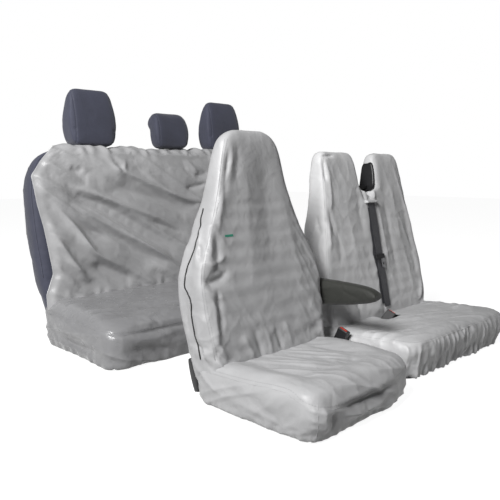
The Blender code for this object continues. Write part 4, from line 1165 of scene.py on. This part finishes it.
def belt(skin, matrix):
    """The webbing; a second dark layer behind it that is partly its slack doubled layer and partly painted
    shadow beside the belt; its slot's lip; and the outlet on the notch's side.
    """
    webbing_y = -0.0775
    left, right, slack_and_shadow_left, slack_and_shadow_right = [], [], [], []
    for h in np.linspace(0.045, 0.522, 60):
        share = (0.526 - h) / 0.526
        middle = 0.004 + 0.016 * share + 0.0012 * math.sin(17 * h)
        wave = 0.0010 * math.sin(23 * h) - 0.001
        twist = 0.0012 * math.sin(11 * h + 0.6)
        # It hangs slack only below the tongue, which runs up the flat part.
        free = float(smooth(0.232 - h, 0.0, 0.08))
        left.append((middle - 0.0235, webbing_y + free * (wave - twist) + 0.0007, h))
        right.append((middle + 0.0235, webbing_y + free * (wave + twist) + 0.0007, h))
    # The second layer lies on the cover and widens to the left at three heights. It is a slack doubled layer
    # of webbing, and it also paints the dark shadow band beside the belt.
    for h in np.linspace(0.060, 0.505, 60):
        share = (0.526 - h) / 0.526
        middle = 0.004 + 0.016 * share
        bulge = hump(h, 0.40, 0.035) * 0.008 + hump(h, 0.29, 0.05) * 0.016 + hump(h, 0.13, 0.05) * 0.006
        back = float(skin.at((middle - 0.02, -0.075, h))[0].y) - 0.0022
        slack_and_shadow_left.append((middle - 0.027 - bulge, back, h))
        slack_and_shadow_right.append((middle + 0.010, back - 0.0012, h))
    strap = ribbon("double_belt_webbing_ribbed", left, right, 0.0014)
    to_world(strap, matrix)
    dress(strap, WEBBING, "root", ["double_belt_webbing"])
    # Dark strip behind the belt: slack doubled webbing and painted shadow.
    slack = ribbon("double_belt_webbing_slack_and_shadow", slack_and_shadow_left, slack_and_shadow_right, 0.0013)
    finish_trim(slack, matrix, WEBBING, slot="webbing")
    lip = loft(
        "double_belt_slot_lip",
        [(0.5235, -0.034, 0.042, -0.088, -0.066, 0.004), (0.5255, -0.036, 0.044, -0.090, -0.066, 0.005),
         (0.5320, -0.036, 0.044, -0.088, -0.066, 0.005), (0.5400, -0.032, 0.040, -0.078, -0.064, 0.005)],
    )
    remesh(lip, 0.0028, 3)
    lip.data.shade_smooth()
    to_world(lip, matrix)
    dress(lip, COVER_DOUBLE, "root", ["double_belt_slot_trim"])
    outlet = loft(
        "double_belt_outlet",
        [(0.588, 0.028, 0.062, -0.064, 0.022, 0.004), (0.606, 0.054, 0.070, -0.066, 0.020, 0.005),
         (0.640, 0.066, 0.080, -0.066, 0.016, 0.006), (0.680, 0.073, 0.086, -0.064, 0.008, 0.006),
         (0.712, 0.079, 0.092, -0.058, 0.000, 0.006), (0.722, 0.086, 0.096, -0.050, -0.006, 0.004)],
    )
    remesh(outlet, 0.0035, 3)
    outlet.data.shade_smooth()
    finish_trim(outlet, matrix, BLACK, slot="black_plastic")


# ---------------------------------------------------------------- rear bench


def bench_cushion():
    name = "bench_cushion_cover_fabric"
    obj = cushion_cover(name, (0.716, -0.306, 0.308, 0.002, 0.194), -0.055, 0.080, (0.095, 0.62),
        (0.060, 0.66), 0.006, 0.006)
    points, normals = relaxed(obj, 0.9, 0.015, 0.06, 2.2, 0.015, 14)
    front, top = -0.300, 0.195
    # Crumpled creases where the top turns down, then long lazy folds of the front, sides and top.
    strokes = [
        ([(-0.72, -0.24, 0.150), (-0.63, front, 0.148), (-0.50, front, 0.140),
            (-0.34, front, 0.146)], 0.011, -0.012),
        ([(-0.50, front, 0.150), (-0.36, front, 0.138), (-0.20, front, 0.144),
            (-0.04, front, 0.136)], 0.011, -0.011),
        ([(-0.68, -0.27, 0.165), (-0.52, -0.275, 0.170), (-0.38, -0.28, 0.165),
            (-0.22, -0.28, 0.168)], 0.011, 0.009),
        ([(-0.30, -0.275, 0.172), (-0.16, -0.280, 0.166), (0.0, -0.278, 0.170)], 0.010, 0.008),
        ([(-0.60, -0.23, 0.190), (-0.50, -0.25, 0.186), (-0.40, -0.23, 0.190)], 0.010, -0.006),
        ([(-0.36, -0.22, 0.190), (-0.26, -0.25, 0.186), (-0.14, -0.23, 0.190)], 0.010, -0.006),
        ([(-0.64, front, 0.12), (-0.52, front, 0.108), (-0.38, front, 0.116)], 0.015, 0.009),
        ([(-0.50, front, 0.095), (-0.36, front, 0.078), (-0.20, front, 0.088)], 0.017, 0.008),
        ([(-0.66, front, 0.080), (-0.52, front, 0.066), (-0.40, front, 0.044)], 0.017, -0.009),
        ([(-0.30, front, 0.118), (-0.16, front, 0.104), (0.0, front, 0.112)], 0.016, -0.009),
        ([(-0.24, front, 0.056), (-0.10, front, 0.040), (0.04, front, 0.048)], 0.017, 0.007),
        ([(-0.712, -0.20, 0.140), (-0.714, 0.0, 0.112), (-0.714, 0.18, 0.105)], 0.018, 0.008),
        ([(-0.712, -0.22, 0.070), (-0.714, -0.02, 0.055), (-0.714, 0.15, 0.070)], 0.018, -0.008),
        ([(-0.66, -0.12, top), (-0.50, -0.04, top), (-0.38, 0.08, top)], 0.022, 0.006),
        ([(-0.60, -0.19, top), (-0.40, -0.10, top), (-0.22, -0.12, top)], 0.020, -0.007),
        ([(-0.50, -0.02, top), (-0.30, -0.06, top), (-0.05, -0.02, top)], 0.024, 0.006),
        ([(-0.40, -0.16, top), (-0.25, -0.17, top), (-0.08, -0.14, top)], 0.014, 0.005),
        ([(0.10, 0.10, top), (0.35, 0.04, top), (0.60, 0.08, top)], 0.030, -0.007),
        ([(0.05, -0.14, top), (0.30, -0.10, top), (0.60, -0.16, top)], 0.024, 0.006),
        ([(0.15, front, 0.130), (0.35, front, 0.110), (0.55, front, 0.138)], 0.018, -0.009),
        ([(0.10, front, 0.080), (0.30, front, 0.060), (0.55, front, 0.078)], 0.018, 0.008),
    ]
    points = fold(points, normals, strokes)
    upper = smooth(normals[:, 2], 0.3, 0.8)
    lift = upper * 0.0060 * pleats(points, (0.3, 1.0, 0.0), 0.090, 0.60, 31.0)
    lift += (1 - upper) * 0.0085 * pleats(points, (0.3, 0.0, 1.0), 0.065, 0.45, 32.0)
    points = crumple(points + normals * lift[:, None], normals, 0.9, 33.0, 0.0040, 0.0008)
    points = hem_gathers(points, normals, 0.003, 0.07, 0.005, 15, 34.0)
    set_points(obj, points)
    trim_inside(obj, 0.03)
    skin = Skin(obj)
    matrix = base_matrix(BENCH)
    to_world(obj, matrix)
    replaced = ["bench_cushion_foam", "bench_cushion_cover", "bench_hem_elastic"]
    dress(obj, COVER_SEAT, "root", replaced)
    edge = [
        (-0.706, 0.20, 0.150), (-0.706, -0.10, 0.150), (-0.690, -0.24, 0.148), (-0.60, -0.298, 0.146),
        (0.0, -0.300, 0.146), (0.60, -0.298, 0.146), (0.690, -0.24, 0.148), (0.706, -0.10, 0.150),
            (0.706, 0.20, 0.150),
    ]
    above = [(x * 0.99, y + 0.007, z + 0.004) for x, y, z in edge]
    add_seam("bench_cushion_seam_edge", skin, edge, 0.0012, 0.009, -0.0002, matrix, COVER_SEAT)
    add_stitches("bench_cushion_stitches", skin, above, matrix, THREAD)


BENCH_ROWS = (
    (-0.130, 0.640, -0.030, 0.040), (-0.100, 0.678, -0.048, 0.060), (0.000, 0.704, -0.054, 0.068),
    (0.100, 0.721, -0.055, 0.074), (0.300, 0.733, -0.056, 0.078), (0.500, 0.731, -0.055, 0.068),
    (0.600, 0.701, -0.052, 0.058), (0.656, 0.651, -0.043, 0.044), (0.683, 0.575, -0.030, 0.026),
    (0.688, 0.520, -0.024, 0.020),
)


def bench_upholstery():
    """The bench's own padded back under the cover; it shows at its left edge and behind."""
    rows = []
    for h, half, front, rear in BENCH_ROWS:
        rows.append((h, -half - 0.002, half + 0.002, front, rear - 0.012, 0.026))
    obj = remesh(loft("bench_back_padding", rows), 0.010)
    points, normals = relaxed(obj, 0.9, -0.12, -0.04, 1.5, 0.004, 12, 0.004)
    points = crumple(points, normals, 0.5, 41.0, 0.002, 0.0006)
    set_points(obj, points)
    skin = Skin(obj)
    matrix = back_matrix(BENCH)
    to_world(obj, matrix)
    dress(obj, SLATE, "root", ["bench_back_upholstery"])
    line = [(-h_half + 0.006, -0.040, h) for h, h_half, _, _ in BENCH_ROWS[3:-1]]
    for label, sign in (("right", 1), ("left", -1)):
        run = [(sign * x, y, h) for x, y, h in line]
        piping = f"bench_back_piping_{label}"
        add_seam(piping, skin, run, 0.0022, 0.008, 0.0005, matrix, SLATE, slot="upholstery")


def drape():
    """The loose sheet over the front and top of the bench's back."""
    path = [
        (-0.070, -0.050), (-0.074, 0.0), (-0.081, 0.10), (-0.085, 0.20), (-0.086, 0.35), (-0.084, 0.50),
        (-0.077, 0.60), (-0.064, 0.650), (-0.046, 0.682), (-0.022, 0.6955), (0.006, 0.6965), (0.030, 0.689),
        (0.050, 0.665), (0.064, 0.630), (0.072, 0.590),
    ]
    step = 0.0085
    line = curve_through(path, step)
    columns = int(1.46 / step)
    vertices, faces, shares = [], [], []
    for j, (y, h) in enumerate(line):
        half_left = float(np.interp(h, (-0.05, 0.02, 0.11, 0.21, 0.32, 0.42, 0.55, 0.62, 0.66, 0.70),
                                    (0.722, 0.722, 0.684, 0.694, 0.706, 0.724, 0.736, 0.680, 0.640, 0.590)))
        half_right = float(np.interp(h, (-0.05, 0.10, 0.30, 0.53, 0.60, 0.64, 0.70),
                                     (0.70, 0.730, 0.742, 0.742, 0.700, 0.655, 0.590)))
        if y > 0.0:
            half_left, half_right = 0.92 * half_left, 0.92 * half_right
        for i in range(columns + 1):
            share = i / columns
            x = -half_left + share * (half_left + half_right)
            vertices.append((x, y, h))
            shares.append((share, j / (len(line) - 1)))
    for j in range(len(line) - 1):
        for i in range(columns):
            a = j * (columns + 1) + i
            faces.append((a, a + 1, a + columns + 2, a + columns + 1))
    obj = new_object("bench_back_sheet", mesh_from("sheet", vertices, faces))
    obj.data.shade_smooth()
    shares = np.array(shares)
    points, normals = points_of(obj), normals_of(obj)
    if normals[len(points) // 4, 1] > 0:
        normals = -normals

    def front(*pairs):
        return [(x, -0.085, h + 0.019) for x, h in pairs]

    strokes = [
        # Long valleys that run from the upper left down to the right.
        (front((-0.40, 0.52), (-0.20, 0.44), (-0.05, 0.39), (0.16, 0.30)), 0.030, -0.020),
        (front((-0.66, 0.49), (-0.54, 0.43), (-0.41, 0.375), (-0.31, 0.32), (-0.17, 0.237),
            (-0.08, 0.187), (0.04, 0.12)), 0.032, -0.026),
        (front((-0.57, 0.34), (-0.46, 0.27), (-0.36, 0.225), (-0.28, 0.17), (-0.18, 0.11),
            (-0.05, 0.04)), 0.026, -0.022),
        (front((-0.50, 0.13), (-0.395, 0.06), (-0.28, 0.0)), 0.024, -0.022),
        (front((-0.18, 0.305), (-0.05, 0.26), (0.08, 0.21)), 0.012, -0.010),
        (front((-0.60, 0.48), (-0.38, 0.415), (-0.12, 0.32), (0.07, 0.25)), 0.010, -0.006),
        # Ridges between them.
        (front((-0.62, 0.50), (-0.40, 0.42), (-0.20, 0.345), (0.03, 0.26)), 0.015, 0.024),
        (front((-0.66, 0.46), (-0.50, 0.355), (-0.36, 0.27), (-0.22, 0.19), (-0.10, 0.12),
            (0.03, 0.06)), 0.017, 0.028),
        (front((-0.67, 0.43), (-0.55, 0.27), (-0.48, 0.17), (-0.35, 0.085), (-0.27, 0.0)), 0.015, 0.025),
        (front((-0.68, 0.28), (-0.57, 0.10), (-0.50, 0.02)), 0.015, 0.020),
        (front((-0.69, 0.16), (-0.65, 0.10), (-0.56, 0.01)), 0.014, 0.012),
        (front((-0.44, 0.60), (-0.22, 0.52), (0.0, 0.43), (0.20, 0.37)), 0.015, 0.018),
        # Upper part: dimples and short folds under the head rests.
        (front((-0.55, 0.57), (-0.52, 0.55), (-0.48, 0.56)), 0.014, -0.010),
        (front((-0.37, 0.655), (-0.33, 0.58), (-0.28, 0.52)), 0.011, 0.012),
        (front((-0.34, 0.64), (-0.30, 0.58), (-0.26, 0.53)), 0.010, -0.011),
        (front((-0.25, 0.66), (-0.26, 0.60), (-0.28, 0.53)), 0.010, 0.011),
        (front((-0.20, 0.66), (-0.20, 0.62), (-0.21, 0.58)), 0.008, -0.009),
        (front((-0.16, 0.66), (-0.15, 0.62), (-0.15, 0.59)), 0.008, 0.008),
        (front((-0.12, 0.66), (-0.12, 0.62), (-0.13, 0.58)), 0.008, -0.008),
        (front((-0.20, 0.58), (-0.10, 0.50), (0.06, 0.405), (0.24, 0.38)), 0.013, 0.011),
        (front((0.09, 0.66), (0.14, 0.60), (0.20, 0.52)), 0.012, 0.012),
        (front((0.05, 0.65), (0.09, 0.60), (0.13, 0.55)), 0.012, -0.011),
        (front((0.16, 0.53), (0.22, 0.53), (0.28, 0.55)), 0.016, -0.014),
        (front((0.08, 0.45), (0.15, 0.465), (0.24, 0.48)), 0.014, -0.013),
        (front((0.16, 0.50), (0.22, 0.49), (0.30, 0.51)), 0.012, 0.010),
        (front((0.30, 0.62), (0.40, 0.54), (0.52, 0.50)), 0.014, 0.012),
        (front((0.34, 0.50), (0.48, 0.40), (0.66, 0.34)), 0.026, -0.018),
        (front((0.28, 0.40), (0.44, 0.30), (0.66, 0.22)), 0.020, 0.016),
        (front((0.26, 0.28), (0.44, 0.18), (0.66, 0.10)), 0.026, -0.018),
        (front((0.20, 0.18), (0.38, 0.08), (0.58, 0.02)), 0.020, 0.016),
    ]
    points = fold(points, normals, strokes)
    inner = smooth(shares[:, 0], 0.0, 0.03) * (1 - smooth(shares[:, 0], 0.97, 1.0))
    lift = inner * 0.0190 * pleats(points, (0.55, 0.0, 0.83), 0.080, 1.10, 51.0)
    lift += inner * 0.0050 * pleats(points, (0.50, 0.0, 0.86), 0.036, 0.80, 52.0)
    points = points + normals * lift[:, None]
    points = crumple(points, normals, 0.4 + 0.6 * inner, 51.0, 0.0015, 0.0006)
    # Gathers along the top, where the posts pass, and along the bottom edge.
    wave = np.sin(2 * math.pi * 14 * (points[:, 0] + 0.03 * ripple(points * (1, 0, 0), 9.0, 3.0)))
    wave *= 0.5 + 0.5 * ripple(points * (1, 0, 0), 17.0, 8.0)
    crown = hump(points[:, 2], 0.672, 0.030) * (points[:, 1] < 0.02)
    foot = 1 - smooth(points[:, 2], -0.05, 0.05)
    points = points + normals * ((0.0075 * crown + 0.006 * foot) * wave)[:, None]
    # Pulled round the padding's edges, and kept clear of its surface.
    rim = 1 - smooth(np.minimum(shares[:, 0], 1 - shares[:, 0]), 0.0, 0.028)
    on_face = points[:, 2] < 0.66
    points[:, 1] += rim * 0.010 * on_face
    clear = -0.068 + 0.012 * rim
    points[:, 1] = np.where(on_face & (points[:, 1] > clear) & (points[:, 1] < 0.0), clear, points[:, 1])
    set_points(obj, points)
    edge = np.minimum(shares[:, 0], 1 - shares[:, 0])
    held = np.maximum(1 - smooth(edge, 0.0, 0.05), smooth(shares[:, 1], 0.66, 0.74))
    held = np.maximum(held, 1 - smooth(shares[:, 1], 0.0, 0.04))
    settle(obj, held, 0.0, 0.02, 10, 0.004)
    subdivide(obj)
    # An eyelet for each head restraint's post.
    for place_x in HEADREST_PLACES.values():
        for sign in (-1, 1):
            points = points_of(obj)
            apart = np.hypot(points[:, 0] - place_x - sign * POST_SPACING / 2, points[:, 1] + 0.005)
            cut_away(obj, (apart < 0.0125) & (points[:, 2] > 0.6))
    matrix = back_matrix(BENCH)
    to_world(obj, matrix)
    thicken(obj, 0.0010)
    dress(obj, COVER_BENCH, "root", ["bench_back_cover"])


PLAIN_PAD = (
    (-0.050, 0.030), (-0.044, 0.008), (-0.026, 0.000), (0.034, 0.000), (0.052, 0.010), (0.060, 0.040),
    (0.054, 0.110), (0.036, 0.180), (0.016, 0.235), (-0.004, 0.262), (-0.026, 0.270), (-0.044, 0.256),
    (-0.054, 0.200), (-0.056, 0.110),
)
HOOKED_PAD = (
    (-0.052, 0.020), (-0.046, 0.004), (-0.028, 0.000), (0.004, 0.000), (0.018, 0.008), (0.022, 0.030),
    (0.018, 0.076), (0.022, 0.104), (0.036, 0.122), (0.046, 0.140), (0.044, 0.160), (0.030, 0.178),
    (0.004, 0.188), (-0.024, 0.182), (-0.046, 0.160), (-0.056, 0.120), (-0.058, 0.070),
)


def headrest(name, place_x, hooked):
    corners = HOOKED_PAD if hooked else PLAIN_PAD
    outline = curve_through([*corners, corners[0]], 0.008)[:-1]
    half = 0.122 * (0.88 if hooked else 1.0)
    middle = np.mean(outline, axis=0)
    profile = ((0.0, 1.0), (0.62, 1.0), (0.76, 0.985), (0.86, 0.95), (0.94, 0.89), (1.0, 0.78))
    rings = []
    for share, shrink in [(-a, b) for a, b in reversed(profile[1:])] + list(profile):
        rings.append([(share * half, *(middle + (p - middle) * (1 - (1 - shrink) * 1.1))) for p in outline])
    obj = remesh(shell(f"bench_headrest_{name}_padding", rings), 0.006, 4)
    points = points_of(obj)
    tall = max(p[1] for p in outline)
    above, below = smooth(points[:, 2], 0.45 * tall, tall), 1 - smooth(points[:, 2], 0.0, 0.4 * tall)
    points[:, 0] *= 1 - 0.12 * above - 0.09 * below
    set_points(obj, points)
    points, normals = relaxed(obj, 0.9, 0.004, 0.03, 3.0, 0.004, 12, 0.004)
    points = crumple(points, normals, 0.6, 60 + 7 * place_x, 0.0014, 0.0005)
    # A shallow welt on each side panel's edge.
    for sign in (-1, 1):
        groove = hump(points[:, 0], sign * half * 0.80, 0.0030) * (points[:, 2] > 0.01)
        points = points - normals * (0.0016 * groove)[:, None]
    set_points(obj, points)
    skin = Skin(obj)
    matrix = back_matrix(BENCH) @ Matrix.Translation((place_x, -0.005, 0.697))
    to_world(obj, matrix)
    body = f"headrest_{name}"
    dress(obj, SLATE, body, [f"bench_headrest_{name}"])
    for label, sign in (("a", -1), ("b", 1)):
        ordered = [(sign * half * 0.80, p[0], p[1]) for p in outline if p[1] > 0.012]
        steps = [math.dist(here, before) for here, before in zip(ordered, [ordered[-1], *ordered])]
        start = steps.index(max(steps))
        ordered = ordered[start:] + ordered[:start]
        row = f"bench_headrest_{name}_stitches_{label}"
        add_stitches(row, skin, ordered[::3], matrix, STITCH_DARK, body, "upholstery")


driver_cushion()
driver_back()
armrest()
double_cushion()
double_back()
bench_cushion()
bench_upholstery()
drape()
for rest_name, rest_x in HEADREST_PLACES.items():
    headrest(rest_name, rest_x, rest_name == "centre")


# ---------------------------------------------------------------- carried-over CAD pieces

NODE_MATERIALS = {
    "panel": BLACK, "guide": BLACK, "trim": COVER_DOUBLE, "stop": BLACK, "buckle": BLACK, "stalk": BLACK,
    "grip": BLACK, "plate": STEEL, "sleeve": BLACK, "post": STEEL, "pan": PAINT, "bracket": PAINT,
    "boss": PAINT, "pin": STEEL, "button": RED, "webbing": WEBBING, "foam": SLATE, "cover": COVER,
    "elastic": BINDING, "upholstery": SLATE, "headrest": SLATE, "pad": SLEEVE,
}
for node_name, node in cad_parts.items():
    chosen = [m for key, m in NODE_MATERIALS.items() if key in node_name]
    if "post" in node_name or "sleeve" in node_name:
        chosen = [STEEL if "post" in node_name else BLACK]
    if "button" in node_name:
        chosen = [RED]
    if chosen and node.data.materials:
        for index in range(len(node.material_slots)):
            node.material_slots[index].link = "OBJECT"
            node.material_slots[index].material = chosen[0]


# ---------------------------------------------------------------- stage


WORLD_LIGHT = 0.09


def add_stage():
    bpy.ops.mesh.primitive_plane_add(size=30, location=(0.4, 0.6, -0.001))
    floor = bpy.context.object
    floor.name = "floor"
    glow = {"Emission_Color": (1, 1, 1, 1), "Emission_Strength": 0.93}
    pale = shader_of("pale_floor", (0.30, 0.30, 0.30), 0.9, **glow)
    floor.data.materials.append(pale)
    floor.visible_diffuse = False
    world = bpy.data.worlds.new("studio")
    scene.world = world
    world.use_nodes = True
    tree = world.node_tree
    background = tree.nodes["Background"]
    background.inputs["Color"].default_value = (1.0, 1.0, 1.0, 1.0)
    seen = tree.nodes.new("ShaderNodeLightPath").outputs["Is Camera Ray"]
    strength = tree.nodes.new("ShaderNodeMapRange")
    strength.inputs["To Min"].default_value = WORLD_LIGHT
    strength.inputs["To Max"].default_value = 1.0
    tree.links.new(seen, strength.inputs["Value"])
    tree.links.new(strength.outputs["Result"], background.inputs["Strength"])


def area_light(name, place, target, size, power):
    light = bpy.data.lights.new(name, "AREA")
    light.shape = "RECTANGLE"
    light.size, light.size_y = size
    light.energy = power
    obj = bpy.data.objects.new(name, light)
    scene.collection.objects.link(obj)
    obj.location = place
    obj.rotation_euler = (Vector(target) - Vector(place)).to_track_quat("-Z", "Y").to_euler()
    return obj


def add_camera():
    camera = bpy.data.cameras.new("camera")
    camera.lens = 42.48
    camera.sensor_width = 36.0
    obj = bpy.data.objects.new("camera", camera)
    scene.collection.objects.link(obj)
    obj.location = (-1.480, -1.243, 0.778)
    obj.rotation_euler = Euler((math.radians(90 - 7.607), 0.0, math.radians(-43.654)))
    scene.camera = obj


add_stage()
area_light("key", (-3.35, -0.66, 3.23), (0.3, 0.4, 0.3), (1.5, 1.5), 340)
add_camera()
scene.view_settings.view_transform = "Standard"
